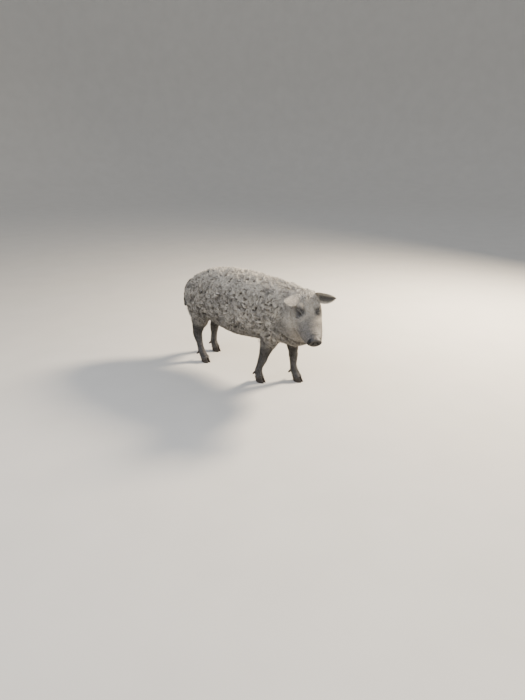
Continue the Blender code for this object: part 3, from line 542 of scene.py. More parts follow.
spots, normals = spots_of(skin), normals_of(skin)
local = in_head(spots)
x, y, z = local.T
push = np.zeros(len(spots))
face = steps(x, 0.05, 0.09) * (z > FACE_FLOOR)
for side in (1, -1):
    eye = np.array(mirrored(EYE, side))
    gaze = np.array(mirrored(EYE_LOOK, side))
    r = np.linalg.norm(local - (eye + 0.012 * gaze), axis=1)
    push -= ORBIT * bell(r, 0.026)
    # soft bags under and behind the eye, as arcs round it
    below = steps(eye[2] - z, -0.010, 0.015)
    push += BAG * np.sin(2 * math.pi * r / 0.0105) * bell(r - 0.036, 0.011) * below
# the mouth: a groove that turns up at its corner, with a lip rolled above it and another below
off = z - mouth_line(x)
run = steps(x, MOUTH_CORNER - 0.006, MOUTH_CORNER + 0.012) * (1 - steps(x, 0.305, 0.318))
push -= GROOVE * bell(off, 0.0024) * run
push += UPPER_LIP * bell(off - 0.0085, 0.0055) * run
push += LOWER_LIP * bell(off + 0.0080, 0.0050) * run
push -= JAW_STEP * steps(-off, 0.001, 0.012) * steps(x, MOUTH_CORNER, MOUTH_CORNER + 0.03)
# folds that fan out behind the corner of the mouth
corner = np.hypot(x - (MOUTH_CORNER - 0.004), z - (MOUTH_LEVEL + 0.010))
fan = bell(corner - 0.022, 0.012) * steps(MOUTH_CORNER - x, -0.004, 0.012)
push += FOLD * np.sin(2 * math.pi * corner / 0.0120) * fan * face
# a few uneven wrinkles across the top of the muzzle, deepest just behind the disc
wrinkled = steps(x, 0.235, 0.290) * (1 - steps(x, 0.302, 0.312)) * steps(z, -0.075, -0.040)
uneven = ripple(local, 0.030, 21)
waves = np.sin(2 * math.pi * (x + 0.0035 * ripple(local, 0.05, 20) + 3.0 * y * y) / 0.0150)
push += WRINKLE * waves * np.clip(0.6 + 0.6 * uneven, 0, 1.2) * wrinkled
# a shallow furrow up the forehead between the brows
push -= FURROW * bell(y, 0.014) * steps(x, 0.02, 0.08) * (1 - steps(x, 0.15, 0.20)) * (z > -0.06)
# the cleft between the claws, front and back
for leg in LEGS:
    rows = leg_rows(leg)
    foot_x, foot_y = rows[-1][0], rows[-1][1]
    low = (1 - steps(spots[:, 2], 0.055, 0.095)) * (np.abs(spots[:, 0] - foot_x) < 0.09)
    gap = bell(spots[:, 1] - foot_y, 0.0050)
    push -= CLEFT * gap * low * (np.sign(foot_y) == np.sign(spots[:, 1]))
spots += normals * push[:, None]
# the chin stands back behind the disc
back = CHIN_BACK * steps(x, 0.262, 0.310) * steps(-off, -0.001, 0.008) * (z > FACE_FLOOR)
spots -= back[:, None] * np.array(to_body.to_3x3() @ Vector((1, 0, 0)))
place_spots(skin, spots)
print("surface moved by", round(1000 * push.min(), 1), "to", round(1000 * push.max(), 1), "mm")

# %% [markdown]
# ## Rooting disc, lids and ears
# The disc is an oval plate of gristle with a rolled rim and two nostrils. The lids are thick arcs. Each ear
# is a broad leaf, hollow in front. They are tubes of many rings, welded to the skin by Boolean unions so that
# no seam shows, and the weld is rounded after that.

# %% Rooting disc with its nostrils
middle, reach = (SNOUT_TOP + SNOUT_BOTTOM) / 2, (SNOUT_TOP - SNOUT_BOTTOM) / 2
# depth as a share of the disc's, and the half width's share, from under the skin out to the rim and in again
PROFILE = [(-0.7, 0.80), (0.0, 0.91), (0.30, 0.955), (0.55, 1.01), (0.75, 1.035), (0.88, 1.02), (0.97, 0.965)]
PROFILE += [(1.00, 0.90), (0.98, 0.83), (0.93, 0.74), (0.92, 0.58), (0.94, 0.36), (0.95, 0.15)]
rings = []
for depth, share in PROFILE:
    ring = []
    for t in np.linspace(0, 2 * math.pi, 48, endpoint=False):
        lead = 0.18 * reach * math.sin(t) * share * min(max(depth, 0), 1)
        notch = 1 - 0.035 * bell(t - math.pi / 2, 0.20) * (share > 0.9)
        high = middle + reach * share * notch * math.sin(t) * (1 - 0.06 * math.cos(2 * t))
        ring.append((SNOUT_CUT + SNOUT_DEPTH * depth + lead, SNOUT_HALF * share * math.cos(t), high))
    rings.append(np.array(ring))
disc = tube("disc", rings)
modify(disc, "SUBSURF", levels=1, render_levels=1)
for side in (1, -1):
    rim = spots_of(disc)
    r = np.hypot(rim[:, 1] - side * NOSTRIL.y, (rim[:, 2] - NOSTRIL.z) * 0.8)
    rim[:, 0] += 0.0016 * bell(r - 0.0115, 0.0035) * (rim[:, 0] > SNOUT_CUT + 0.015)
    place_spots(disc, rim)
for side in (1, -1):
    hole = ball("hole", (0, 0, 0), (0.017, 0.0072, 0.0102), 32, 20)
    tilt = Matrix.Rotation(side * 0.35, 4, "X") @ Matrix.Rotation(side * 0.30, 4, "Z")
    hole.data.transform(Matrix.Translation(mirrored(NOSTRIL, side) + Vector((0.001, 0, 0))) @ tilt)
    combine(disc, hole, "DIFFERENCE")
disc.data.transform(to_body)
combine(skin, disc, "UNION")


# %% Lids
LID_SPAN, LID_WRAP = 0.72, 0.007


def eye_frame(side):
    """Where an eye looks, and the ways across and up its lids."""
    gaze = mirrored(EYE_LOOK, side)
    across = gaze.cross(Vector((0, 0, 1))).normalized()
    return gaze, across, across.cross(gaze).normalized()


def lid_arc(name, side, upper, spread, thick, sink):
    """An arc of eyelid round the eyeball's front, thicker in its middle."""
    gaze, across, rise = eye_frame(side)
    middle = mirrored(EYE, side) + gaze * (EYE_RADIUS * LID_SPAN - sink)
    rings = []
    for t in np.linspace(-0.12, math.pi + 0.12, 30):
        lift = math.sin(t) * (0.94 if upper else -0.80)
        spot = middle + (across * math.cos(t) * LID_WIDTH + rise * lift * LID_HEIGHT) * spread
        spot -= gaze * LID_WRAP * math.cos(t) ** 2
        fat = thick * (0.60 + 0.5 * abs(math.sin(t)))
        out = (across * math.cos(t) + rise * lift).normalized()
        turns = [2 * math.pi * k / 12 for k in range(12)]
        rings.append(np.array([spot + (out * math.cos(a) + gaze * math.sin(a)) * fat for a in turns]))
    return tube(name, rings)


for side in (1, -1):
    for upper in (True, False):
        arc = lid_arc("lid", side, upper, 1.0, LID_THICK, 0.0)
        arc.data.transform(to_body)
        combine(skin, arc, "UNION")
    fold = lid_arc("fold", side, True, 1.42, 0.0034, 0.0040)
    fold.data.transform(to_body)
    combine(skin, fold, "UNION")
    socket = ball("socket", mirrored(EYE, side), [EYE_RADIUS + 0.0004] * 3, 40, 24)
    socket.data.transform(to_body)
    combine(skin, socket, "DIFFERENCE")
print("disc and lids welded:", len(skin.data.polygons), "faces")


# %% Ears
def ear_spot(side, s, t, lift):
    """A point of the ear in the head's frame: s runs from root to tip, t across, lift from back to front."""
    axis = EAR_AXIS[side].normalized()
    hollow = EAR_HOLLOW[side]
    hollow = (hollow - axis * hollow.dot(axis)).normalized()
    wide = axis.cross(hollow).normalized()
    half = EAR_WIDTH * (0.80 + 0.55 * s) * max(1 - s**1.8, 0.004) ** 0.85 * (0.60 + 0.40 * steps(s, 0, 0.30))
    cup = EAR_CUP * (1 - 0.45 * s) * half * t * t
    spot = mirrored(EAR_ROOT, side) + axis * EAR_LENGTH * s + wide * half * t
    spot += hollow * (cup - 0.25 * EAR_WIDTH * (1 - s)) + hollow * 0.012 * math.sin(math.pi * s)
    spot += Vector((0, 0, -EAR_DROOP * s * s))
    thick = EAR_THICK * (1 - 0.50 * s) * (1 - 0.45 * t * t)
    ridge = 0.0014 * math.cos(3.5 * math.pi * t) * (1 - s) * (lift > 0) * (1 - t * t)
    wave = 0.0016 * math.sin(9 * s + 2 * t) * t * t
    return spot + hollow * (lift * thick / 2 + ridge + wave)


for side in (1, -1):
    rings = []
    for s in list(np.linspace(0, 0.9, 19)) + [0.94, 0.97, 0.99]:
        turns = np.linspace(0, 2 * math.pi, 40, endpoint=False)
        rings.append(np.array([ear_spot(side, s, math.cos(a), math.sin(a)) for a in turns]))
    leaf = tube("leaf", rings)
    leaf.data.transform(to_body)
    combine(skin, leaf, "UNION")
print("ears welded:", len(skin.data.polygons), "faces")

# %% Rounding the welds
bpy.context.view_layer.objects.active = skin
bpy.ops.object.mode_set(mode="EDIT")
bpy.ops.mesh.select_all(action="SELECT")
bpy.ops.mesh.remove_doubles(threshold=0.00002)
bpy.ops.mesh.quads_convert_to_tris()
bpy.ops.object.mode_set(mode="OBJECT")
spots = spots_of(skin)
local = in_head(spots)
weld = np.zeros(len(spots))
for side in (1, -1):
    r = np.linalg.norm(local - np.array(mirrored(EAR_ROOT, side)), axis=1)
    weld = np.maximum(weld, 1 - steps(r, 0.045, 0.075))
    r = np.linalg.norm(local - np.array(mirrored(EYE, side)), axis=1)
    weld = np.maximum(weld, 0.5 * steps(r, 0.016, 0.022) * (1 - steps(r, 0.032, 0.045)))
weld = np.maximum(weld, 0.6 * bell(local[:, 0] - SNOUT_CUT, 0.005) * (local[:, 2] > SNOUT_FLOOR))
group = skin.vertex_groups.new(name="weld")
for index in np.flatnonzero(weld > 0.01):
    group.add([int(index)], float(weld[index]), "REPLACE")
modify(skin, "SMOOTH", factor=0.5, iterations=8, vertex_group="weld")
skin.vertex_groups.clear()
only(skin)
bpy.ops.object.shade_smooth()
print("skin has", len(skin.data.polygons), "faces")


# %% [markdown]
# ## Markings
# A mangalica has black skin under blond hair. Where the hair is long it is all that shows; on the lower legs,
# round the eyes and down the muzzle it thins out, and the slate skin comes through. Shade is painted in as
# darker colour too: round the eyes, under the jaw and low on the barrel. One function says how blond each
# place is, painted shade included, and both the skin and the coat ask it, so that they can't disagree.

# %% How blond, and how lit or shaded, a place is
def blond_at(points):
    local = in_head(points)
    x, y, z = local.T
    head = steps(x, -0.02, 0.02) * (z > HEAD_FLOOR)
    body = 0.08 + 0.92 * steps(points[:, 2] + 0.02 * ripple(points, 0.15, 3), 0.24, 0.37)
    # painted shade: low on the barrel the colour darkens, mostly as painted shade under the belly and partly
    # as mud on the hair
    body *= 0.50 + 0.50 * steps(points[:, 2] + 0.02 * ripple(points, 0.12, 6), 0.34, 0.53)
    cheek = steps(-z, 0.060, 0.110) * (1 - steps(x, 0.14, 0.20))
    muzzle = 1 - 0.72 * steps(x + 0.014 * ripple(points, 0.05, 4), 0.120, 0.225)
    muzzle *= 0.84 + 0.16 * np.maximum(cheek, steps(-x, -0.050, -0.010))
    # towards the disc the bare skin darkens; the underside of the jaw is darkened as painted shade
    muzzle *= (1 - 0.35 * steps(x, 0.25, 0.31)) * (1 - 0.45 * steps(-z, 0.130, 0.180))
    # round each eye the bare slate skin shows, darkened further as painted shade in the orbit
    for side in (1, -1):
        r = np.linalg.norm((local - np.array(mirrored(EYE, side))) * (1.0, 1.0, 0.85), axis=1)
        muzzle *= 1 - 0.88 * (1 - steps(r + 0.004 * ripple(points, 0.03, 5), 0.022, 0.050))
    return np.clip(body * (1 - head) + muzzle * head, 0.03, 1)


print("blond at the back", round(float(blond_at(np.array([[0, 0, 0.75]]))[0]), 2))

# %% Shares along tail and ears
tail_line = between(TAIL, 8)


def tail_share(points):
    """How far down the tail each point lies, from 0 where it leaves the rump to 1 at its tip, or -1."""
    off = np.linalg.norm(points[:, None] - tail_line[None, :, :3], axis=2) - tail_line[None, :, 3]
    nearest = off.argmin(axis=1)
    share = nearest / (len(tail_line) - 1)
    return np.where((off.min(axis=1) < 0.004) & (share > 0.28), (share - 0.28) / 0.72, -1.0)


leaf_spots = [
    (*ear_spot(side, s, t, 0.0), s, t)
    for side in (1, -1)
    for s in np.linspace(0, 1, 51)
    for t in np.linspace(-1, 1, 25)
]
leaf_net = KDTree(len(leaf_spots))
for index, spot in enumerate(leaf_spots):
    leaf_net.insert(spot[:3], index)
leaf_net.balance()


def ear_share(points):
    """How far out on an ear each point lies, from 0 at the root to 1 at the tip, and -1 off the ears.

    Beside it, how pale the rim is painted: the edges of the leaf curl in and show its pale back, and a wider
    band along the upper edge is painted pale as a painted highlight, where light falls on the top of the ear.
    """
    local = in_head(points)
    x, y, z = local.T
    share, rim = np.full(len(points), -1.0), np.zeros(len(points))
    for index in np.flatnonzero((np.abs(y) > 0.045) & (x > -0.10) & (x < 0.20) & (z > -0.12)):
        _, nearest, far = leaf_net.find(Vector(local[index]))
        s, t = leaf_spots[nearest][3:]
        if far < 0.0075 and s > 0.12:
            share[index], rim[index] = s, max(steps(abs(t), 0.62, 0.92), steps(-t, 0.10, 0.45))
    return share, rim


def furred(points):
    """Which points carry the long coat: all but the face, the ears, the tail and the lower legs."""
    x, y, z = in_head(points).T
    head = (x > -0.02) & (z > HEAD_FLOOR)
    jowl = (x < 0.045 - 0.3 * (z + 0.05) + 0.008 * ripple(points, 0.04, 30)) & (z < -0.040)
    crown = (x < 0.045) & (z > -0.045)
    off_tail = tail_share(points) < 0
    return (points[:, 2] > 0.235) & off_tail & (ear_share(points)[0] < 0) & (~head | jowl | crown)


# %% Marks and hair direction stored on the skin
spots = spots_of(skin)
local = in_head(spots)
blond = blond_at(spots)
on_ear, rim = ear_share(spots)
ear_part = np.zeros(len(spots))
inner = np.zeros(len(spots))
normals = normals_of(skin)
for side in (1, -1):
    hollow = np.array((to_body.to_3x3() @ EAR_HOLLOW[side]).normalized())
    part = steps(on_ear, 0.10, 0.26) * (local[:, 1] * side > 0)
    ear_part = np.maximum(ear_part, part)
    # the rim stays pale: the ear's pale back, and a painted highlight along the upper edge
    inner = np.maximum(inner, part * steps(normals @ hollow, -0.1, 0.35) * (1 - 0.85 * rim))
blond = blond * (1 - ear_part) + ear_part * (1.0 - 0.85 * inner)
# under the long coat the skin is painted as dark wool, for the hair's dark roots and as painted shade between
# the locks; the lips are darker too
deep = furred(spots).astype(float)
parted = np.abs(local[:, 2] - mouth_line(local[:, 0])) * (local[:, 2] > FACE_FLOOR)
shut = (1 - steps(parted, 0.002, 0.007)) * steps(local[:, 0], MOUTH_CORNER - 0.006, MOUTH_CORNER + 0.006)
blond *= 1 - 0.7 * shut * (local[:, 2] > FACE_FLOOR)
disc_part = steps(local[:, 0], SNOUT_CUT - 0.002, SNOUT_CUT + 0.004) * (local[:, 2] > SNOUT_FLOOR)
# a painted highlight: the disc's upper rim is painted paler, where light from above catches it
high = (local[:, 2] - middle) / reach
round_disc = np.hypot(local[:, 1] / SNOUT_HALF, high)
painted_rim_highlight = steps(high, 0.45, 0.85) * steps(round_disc, 0.80, 0.92)
disc_part *= 1 - 0.75 * painted_rim_highlight
blond = blond * (1 - disc_part)
moist = steps(local[:, 0], 0.20, 0.30) * (local[:, 2] > SNOUT_FLOOR)
marks = skin.data.color_attributes.new("marks", "FLOAT_COLOR", "POINT")
values = np.column_stack([blond, moist, disc_part, deep])
marks.data.foreach_set("color", values.astype(np.float32).ravel())
# the hair's run: stretched along the muzzle, ears and trunk, and along z on the legs
on_head = (steps(local[:, 0], -0.02, 0.02) * (local[:, 2] > HEAD_FLOOR))[:, None]
low = (1 - steps(spots[:, 2], 0.30, 0.42))[:, None]
trunk_run = spots * (0.18, 1.0, 1.0)
leg_run = spots * (1.0, 1.0, 0.16)
run = (trunk_run * (1 - low) + leg_run * low) * (1 - on_head) + local * (0.16, 1.0, 1.0) * on_head
grain = skin.data.attributes.new("grain", "FLOAT_VECTOR", "POINT")
grain.data.foreach_set("vector", run.astype(np.float32).ravel())
print("ear points", int((ear_part > 0.5).sum()), "disc points", int((disc_part > 0.5).sum()))

# %% [markdown]
# ## Skin with short hair
# Black pig skin is slate grey, faintly bluish where it is stretched and brown where mud has dried in.
# Short hair lies flat on it: streaks two or three millimetres wide, drawn as noise stretched along the
# hair, in the colour and, weaker, in the bump. The rooting disc is bare, darker and a little moist.

# %% Skin material
hide, tree, surface = new_material("pig hide with short bristles")
mark = add(tree, "Attribute", {"attribute_name": "marks"})
split = add(tree, "SeparateColor", links={"Color": mark.outputs["Color"]})
how_blond, wet, bare = (split.outputs[name] for name in ("Red", "Green", "Blue"))
run = add(tree, "Attribute", {"attribute_name": "grain"})
place = add(tree, "TexCoord")
# streaks 2.5 mm apart: hair by hair would be finer than the picture can show
streak = add(
    tree, "TexNoise", {"Scale": 420.0, "Detail": 3.0, "Roughness": 0.6}, {"Vector": run.outputs["Vector"]}
)
patches = add(tree, "TexNoise", {"Scale": 38.0, "Detail": 4.0}, {"Vector": place.outputs["Object"]})
pores = add(tree, "TexVoronoi", {"Scale": 320.0}, {"Vector": place.outputs["Object"]})
dark = add(
    tree, "ValToRGB", {"stops": [(0.30, "#232427"), (0.55, "#3e3f43"), (0.78, "#5d5c5d")]},
    {"Fac": patches.outputs["Fac"]},
)
hair = add(
    tree, "ValToRGB", {"stops": [(0.28, "#6d645a"), (0.50, "#a49b8c"), (0.72, "#d3cabb")]},
    {"Fac": streak.outputs["Fac"]},
)
cover = add(tree, "Math", {"operation": "MULTIPLY_ADD"}, {0: streak.outputs["Fac"]})
cover.inputs[1].default_value = 0.9
cover.inputs[2].default_value = -0.45
sum_cover = add(tree, "Math", {"operation": "ADD", "use_clamp": True}, {0: cover.outputs[0], 1: how_blond})
coated = add(
    tree, "Mix", {"data_type": "RGBA"},
    {"Factor": sum_cover.outputs[0], 6: dark.outputs["Color"], 7: hair.outputs["Color"]},
)
# dark wool under the long coat: the hair's dark roots, and painted shade between the locks
wool_with_painted_shade = add(
    tree, "ValToRGB", {"stops": [(0.36, "#292624"), (0.52, "#57524b"), (0.68, "#8d867b")]},
    {"Fac": streak.outputs["Fac"]},
)
under = add(
    tree, "Mix", {"data_type": "RGBA"},
    {"Factor": mark.outputs["Alpha"], 6: coated.outputs[2], 7: wool_with_painted_shade.outputs["Color"]},
)
gristle = add(
    tree, "ValToRGB", {"stops": [(0.30, "#080808"), (0.60, "#121112"), (0.85, "#211e1e")]},
    {"Fac": patches.outputs["Fac"]},
)
whole = add(
    tree, "Mix", {"data_type": "RGBA"},
    {"Factor": bare, 6: under.outputs[2], 7: gristle.outputs["Color"]},
)
tree.links.new(whole.outputs[2], surface.inputs["Base Color"])
rough = add(tree, "MapRange", {"To Min": 0.75, "To Max": 0.55}, {"Value": wet})
tree.links.new(rough.outputs[0], surface.inputs["Roughness"])
ridge = add(
    tree, "Bump", {"Strength": 0.55, "Distance": 0.0012}, {"Height": streak.outputs["Fac"]}
)
relief = add(tree, "MapRange", {"To Min": 0.15, "To Max": 0.45}, {"Value": bare})
leather = add(
    tree, "Bump", {"Distance": 0.0011},
    {"Strength": relief.outputs[0], "Height": pores.outputs["Distance"], "Normal": ridge.outputs["Normal"]},
)
tree.links.new(leather.outputs["Normal"], surface.inputs["Normal"])
surface.inputs["Specular IOR Level"].default_value = 0.28
skin.data.materials.clear()
skin.data.materials.append(hide)


# %% [markdown]
# ## How a lock is built
# A curl on a mangalica is a lock of many hairs that springs from one place, arches up, turns over and ends
# in a tip. Each lock gets a line over the skin, found step by step, and a handful of three-sided tapering
# tufts that follow it side by side and close up at the tip. Real hairs would be far too many; tufts of about
# a few millimetres, thin and overlapping, give the same light and shade, and fine streaks stand for hairs.

# %% Roots, spread evenly over the skin
finder = BVHTree.FromObject(skin, bpy.context.evaluated_depsgraph_get())
dice = np.random.default_rng(23)
NEXT = (-1, 0, 1)


def scatter(count, keep):
    """Random points over the skin with their normals, evenly by area, where keep says yes."""
    mesh = skin.data
    mesh.calc_loop_triangles()
    corners = np.empty(3 * len(mesh.loop_triangles), np.int32)
    mesh.loop_triangles.foreach_get("vertices", corners)
    spots, normals = spots_of(skin), normals_of(skin)
    # remesh and Booleans may number the faces anew on each run: they are taken in the order of their places
    order = np.lexsort(spots.T)
    rank = np.empty(len(order), int)
    rank[order] = np.arange(len(order))
    ranked = np.sort(rank[corners.reshape(-1, 3)], axis=1)
    corners = order[ranked[np.lexsort(ranked.T)]]
    corners = corners[keep(spots[corners].mean(axis=1))]
    a, b, c = (spots[corners[:, k]] for k in range(3))
    areas = np.linalg.norm(np.cross(b - a, c - a), axis=1) / 2
    picks = dice.choice(len(corners), size=count, p=areas / areas.sum())
    shares = dice.dirichlet((1, 1, 1), size=count)
    found = np.einsum("ij,ijk->ik", shares, spots[corners[picks]])
    return found, unit(np.einsum("ij,ijk->ik", shares, normals[corners[picks]]))


def evenly(points, wide):
    """Indices of points that keep at least their own width from those taken before them."""
    cell, taken, chosen = wide.max(), {}, []
    for index, (spot, gap) in enumerate(zip(points.tolist(), wide.tolist())):
        i, j, k = (math.floor(value / cell) for value in spot)
        near_by = [taken.get((i + a, j + b, k + c), ()) for a in NEXT for b in NEXT for c in NEXT]
        if all(math.dist(spot, other) > gap for group in near_by for other in group):
            taken.setdefault((i, j, k), []).append(spot)
            chosen.append(index)
    return np.array(chosen)


def plant(count, keep, gap):
    """Roots and normals of tufts where keep says yes. Their gap is a length, or asks each point."""
    roots, ups = scatter(count, keep)
    chosen = evenly(roots, gap(roots) if callable(gap) else np.full(len(roots), gap))
    return roots[chosen], ups[chosen]


def veer(ways, ups, turn):
    """The ways, each turned about its up by its own angle."""
    return ways * np.cos(turn)[:, None] + np.cross(ups, ways) * np.sin(turn)[:, None]


def plan_of(roots, ups, ways, **settings):
    """All that locks need, one row for each root. A single number stands for every row."""
    plan = {"root": roots, "up": ups, "way": ways}
    basic = {"curl": 0.0, "wave": 0.10, "width": 0.0, "tip": 0.7, "pale": 0.0, "blond": blond_at(roots)}
    for name, value in {**basic, **settings}.items():
        plan[name] = np.broadcast_to(value, len(roots)).astype(float)
    return plan


def pick(plan, part):
    return {name: rows[part] for name, rows in plan.items()}


# %% Lines over the skin
def paths(plan, nodes):
    """Lines from the roots over the skin. Each turns more and more by its curl, and swings by its wave."""
    spot, up, way = plan["root"], plan["up"], plan["way"]
    side = np.cross(up, way)
    lines = [(spot, up, side)]
    phase = dice.uniform(0, 2 * math.pi, len(spot))
    for k in range(nodes):
        share = (0.5 + (k + 0.5) / nodes) / nodes
        swing = np.sin(phase + 2.6 * (k + 1)) - np.sin(phase + 2.6 * k)
        turn = plan["curl"] * share + plan["wave"] * swing
        way = way * np.cos(turn)[:, None] + side * np.sin(turn)[:, None]
        ahead = spot + way * (plan["length"] / nodes)[:, None]
        if "free" in plan:
            spot = ahead
        else:
            found = [finder.find_nearest(Vector(place))[:2] for place in ahead]
            spot = np.array([place for place, _ in found])
            up = unit(0.5 * up + 0.5 * np.array([normal for _, normal in found]))
            way = unit(way - up * np.sum(way * up, axis=1)[:, None])
        side = np.cross(up, way)
        lines.append((spot, up, side))
    return [np.stack(part, axis=1) for part in zip(*lines)]


# %% Tufts along the lines
# height and thickness of a lock's strands, taken in turn: fine ones on top, broad ones below
LAYERS = ((1.0, 0.60), (0.78, 1.1), (0.50, 2.3))


def tufts(plan, strands, nodes):
    """The tufts of every lock, one after the other: points of rings and tip, and four marks for each."""
    lines, ups, sides = paths(plan, nodes)
    count = len(lines)
    t = np.linspace(0, 1, nodes + 1)
    arch = np.interp(t, (0, 0.18, 0.42, 0.72, 1.0), (-0.12, 0.60, 0.95, 0.98, 0.80))
    shrink = 1 - 0.75 * t**1.4
    taper = np.interp(t[:-1], (0, 0.25, 0.6, 1), (0.75, 1.0, 0.85, 0.30))
    ahead = np.gradient(lines, axis=1) * nodes
    along = np.append(np.repeat(t[:-1], 3), 1.0)
    across = np.append(np.tile((0.0, 1.0, 0.5), nodes), 0.5)
    for k in range(strands):
        a = (2 * k + 1) / strands - 1 + dice.uniform(-0.6, 0.6, count) / strands
        high, thick = LAYERS[k % 3] if strands > 1 else (1.0, 1.0)
        level = high * dice.uniform(0.85, 1.0, count) * (1 - 0.2 * a * a)
        lift = (plan["rise"] * level)[:, None] * arch
        lift[:, -1] = plan["rise"] * level * plan["tip"]
        lift[:, 0] -= 0.0015
        stray = (0.25 if k % 3 else 0.50) * np.sin(5.0 * t + dice.uniform(0, 2 * math.pi, count)[:, None])
        spread = plan["width"][:, None] * (a[:, None] * shrink + stray * (strands > 1))
        slide = dice.uniform(-0.10, 0.08, count)[:, None, None] * (strands > 1)
        spots = lines + sides * spread[..., None] + ups * lift[..., None] + ahead * slide
        wide = plan["half"][:, None] * thick * taper * dice.uniform(0.7, 1.2, (count, 1))
        base, out, up = spots[:, :-1], sides[:, :-1] * wide[..., None], ups[:, :-1] * (0.6 * wide)[..., None]
        rings = np.stack([base - out, base + out, base + up], axis=2).reshape(count, 3 * nodes, 3)
        marks = np.empty((count, 3 * nodes + 1, 4))
        marks[:, :, 0] = plan["pale"][:, None] + (1 - plan["pale"][:, None]) * along
        marks[:, :, 1] = np.clip(plan["tone"] + dice.normal(0, 0.16, count), 0, 1)[:, None]
        marks[:, :, 2] = plan["blond"][:, None]
        marks[:, :, 3] = across
        yield np.concatenate([rings, spots[:, -1:]], axis=1), marks


def spread_out(lengthwise, around):
    """Places on an unwrap of the skin: two measures of each root, each brought to run from 0 to 1."""
    found = []
    for measure in (lengthwise, around):
        found.append(0.01 + 0.98 * (measure - measure.min()) / (measure.max() - measure.min()))
    return np.column_stack(found)


def weave(name, plan, unwrap, strands, nodes, material):
    """One mesh of all the plan's tufts. In the map for baking, each tuft is a patch at its root's place."""
    quads = []
    for j in range(nodes - 1):
        for a, b in ((0, 1), (1, 2), (2, 0)):
            quads += [(3 * j + a, 3 * j + b, 3 * j + 3 + b), (3 * j + a, 3 * j + 3 + b, 3 * j + 3 + a)]
    end = 3 * nodes
    quads += [(end - 3, end - 2, end), (end - 2, end - 1, end), (end - 1, end - 3, end), (0, 2, 1)]
    made = list(tufts(plan, strands, nodes))
    points = np.concatenate([spots for spots, _ in made])
    marks = np.concatenate([marks for _, marks in made])
    faces = (np.array(quads)[None] + (end + 1) * np.arange(len(points))[:, None, None]).reshape(-1, 3)
    upwards = np.append(np.repeat(np.arange(nodes) / nodes, 3), 1)
    patch = np.stack([marks[0, :, 3] - 0.5, upwards - 0.5], axis=1)
    places = np.tile(unwrap, (strands, 1))[:, None] + 0.003 * patch
    mesh = bpy.data.meshes.new(name)
    mesh.vertices.add(points.size // 3)
    mesh.vertices.foreach_set("co", points.astype(np.float32).ravel())
    mesh.loops.add(faces.size)
    mesh.loops.foreach_set("vertex_index", faces.astype(np.int32).ravel())
    mesh.polygons.add(len(faces))
    mesh.polygons.foreach_set("loop_start", np.arange(0, faces.size, 3, dtype=np.int32))
    mesh.polygons.foreach_set("use_smooth", np.ones(len(faces), bool))
    mesh.update(calc_edges=True)
    layer = mesh.uv_layers.new(name="OFBake")
    layer.data.foreach_set("uv", places.reshape(-1, 2)[faces.ravel()].astype(np.float32).ravel())
    shade = mesh.color_attributes.new("coat", "FLOAT_COLOR", "POINT")
    shade.data.foreach_set("color", marks.astype(np.float32).ravel())
    obj = bpy.data.objects.new(name, mesh)
    bpy.context.collection.objects.link(obj)
    mesh.materials.append(material)
    corners = points.reshape(-1, 3)[faces]
    volume = np.einsum("ij,ij->i", corners[:, 0], np.cross(corners[:, 1], corners[:, 2])).sum() / 6
    print(name, len(faces), "triangles, volume", round(1e6 * volume), "ml")
    coat.append(obj)


# %% [markdown]
# ## What hair looks like
# A hair is dark and dirty near the skin and bleached towards its tip, and the dark roots are also painted
# shade deep in the fleece. No two locks are the same: some cream, some grey with dust. Each tuft carries how
# far along it a point lies, its lock's own tone, how blond the place is, and how far across the tuft a point
# lies, for the streaks that stand for single hairs.
# Hair scatters light softly along its edges, which a little sheen stands for.

# %% Hair material
fleece, tree, surface = new_material("curly blond bristle hair")
mark = add(tree, "Attribute", {"attribute_name": "coat"})
split = add(tree, "SeparateColor", links={"Color": mark.outputs["Color"]})
along, tone, how_blond = (split.outputs[name] for name in ("Red", "Green", "Blue"))
# nine hairs across a tuft, each a good deal coarser than a real one
thread = add(tree, "CombineXYZ", links={"X": mark.outputs["Alpha"], "Y": along, "Z": tone})
laid = add(tree, "Mapping", {"Scale": (9.0, 1.1, 40.0)}, {"Vector": thread.outputs["Vector"]})
hairs = add(tree, "TexNoise", {"Scale": 1.0, "Detail": 1.0}, {"Vector": laid.outputs["Vector"]})
# from root to tip the hair goes from dark to pale: dirt and bleaching, and painted shade towards the roots
cream = add(
    tree, "ValToRGB", {"stops": [(0.0, "#3b342b"), (0.20, "#9a9080"), (0.50, "#e1d9c9"), (1.0, "#fffbf3")]},
    {"Fac": along},
)
dusty = add(
    tree, "ValToRGB", {"stops": [(0.0, "#252322"), (0.22, "#5e5a54"), (0.55, "#94908a"), (1.0, "#c6c3bc")]},
    {"Fac": along},
)
blonds = add(
    tree, "Mix", {"data_type": "RGBA"}, {"Factor": tone, 6: dusty.outputs["Color"], 7: cream.outputs["Color"]}
)
black = add(
    tree, "ValToRGB", {"stops": [(0.0, "#171617"), (0.5, "#302e2e"), (1.0, "#575350")]}, {"Fac": along}
)
kind = add(
    tree, "Mix", {"data_type": "RGBA"}, {"Factor": how_blond, 6: black.outputs["Color"], 7: blonds.outputs[2]}
)
shaded = add(
    tree, "ValToRGB", {"stops": [(0.36, "#8a8580"), (0.58, "#ffffff")]}, {"Fac": hairs.outputs["Fac"]}
)
final = add(
    tree, "Mix", {"data_type": "RGBA", "blend_type": "MULTIPLY", "Factor": 1.0},
    {6: kind.outputs[2], 7: shaded.outputs["Color"]},
)
tree.links.new(final.outputs[2], surface.inputs["Base Color"])
ridges = add(tree, "Bump", {"Strength": 0.7, "Distance": 0.0010}, {"Height": hairs.outputs["Fac"]})
tree.links.new(ridges.outputs["Normal"], surface.inputs["Normal"])
surface.inputs["Roughness"].default_value = 0.60
surface.inputs["Specular IOR Level"].default_value = 0.35
surface.inputs["Sheen Weight"].default_value = 0.20
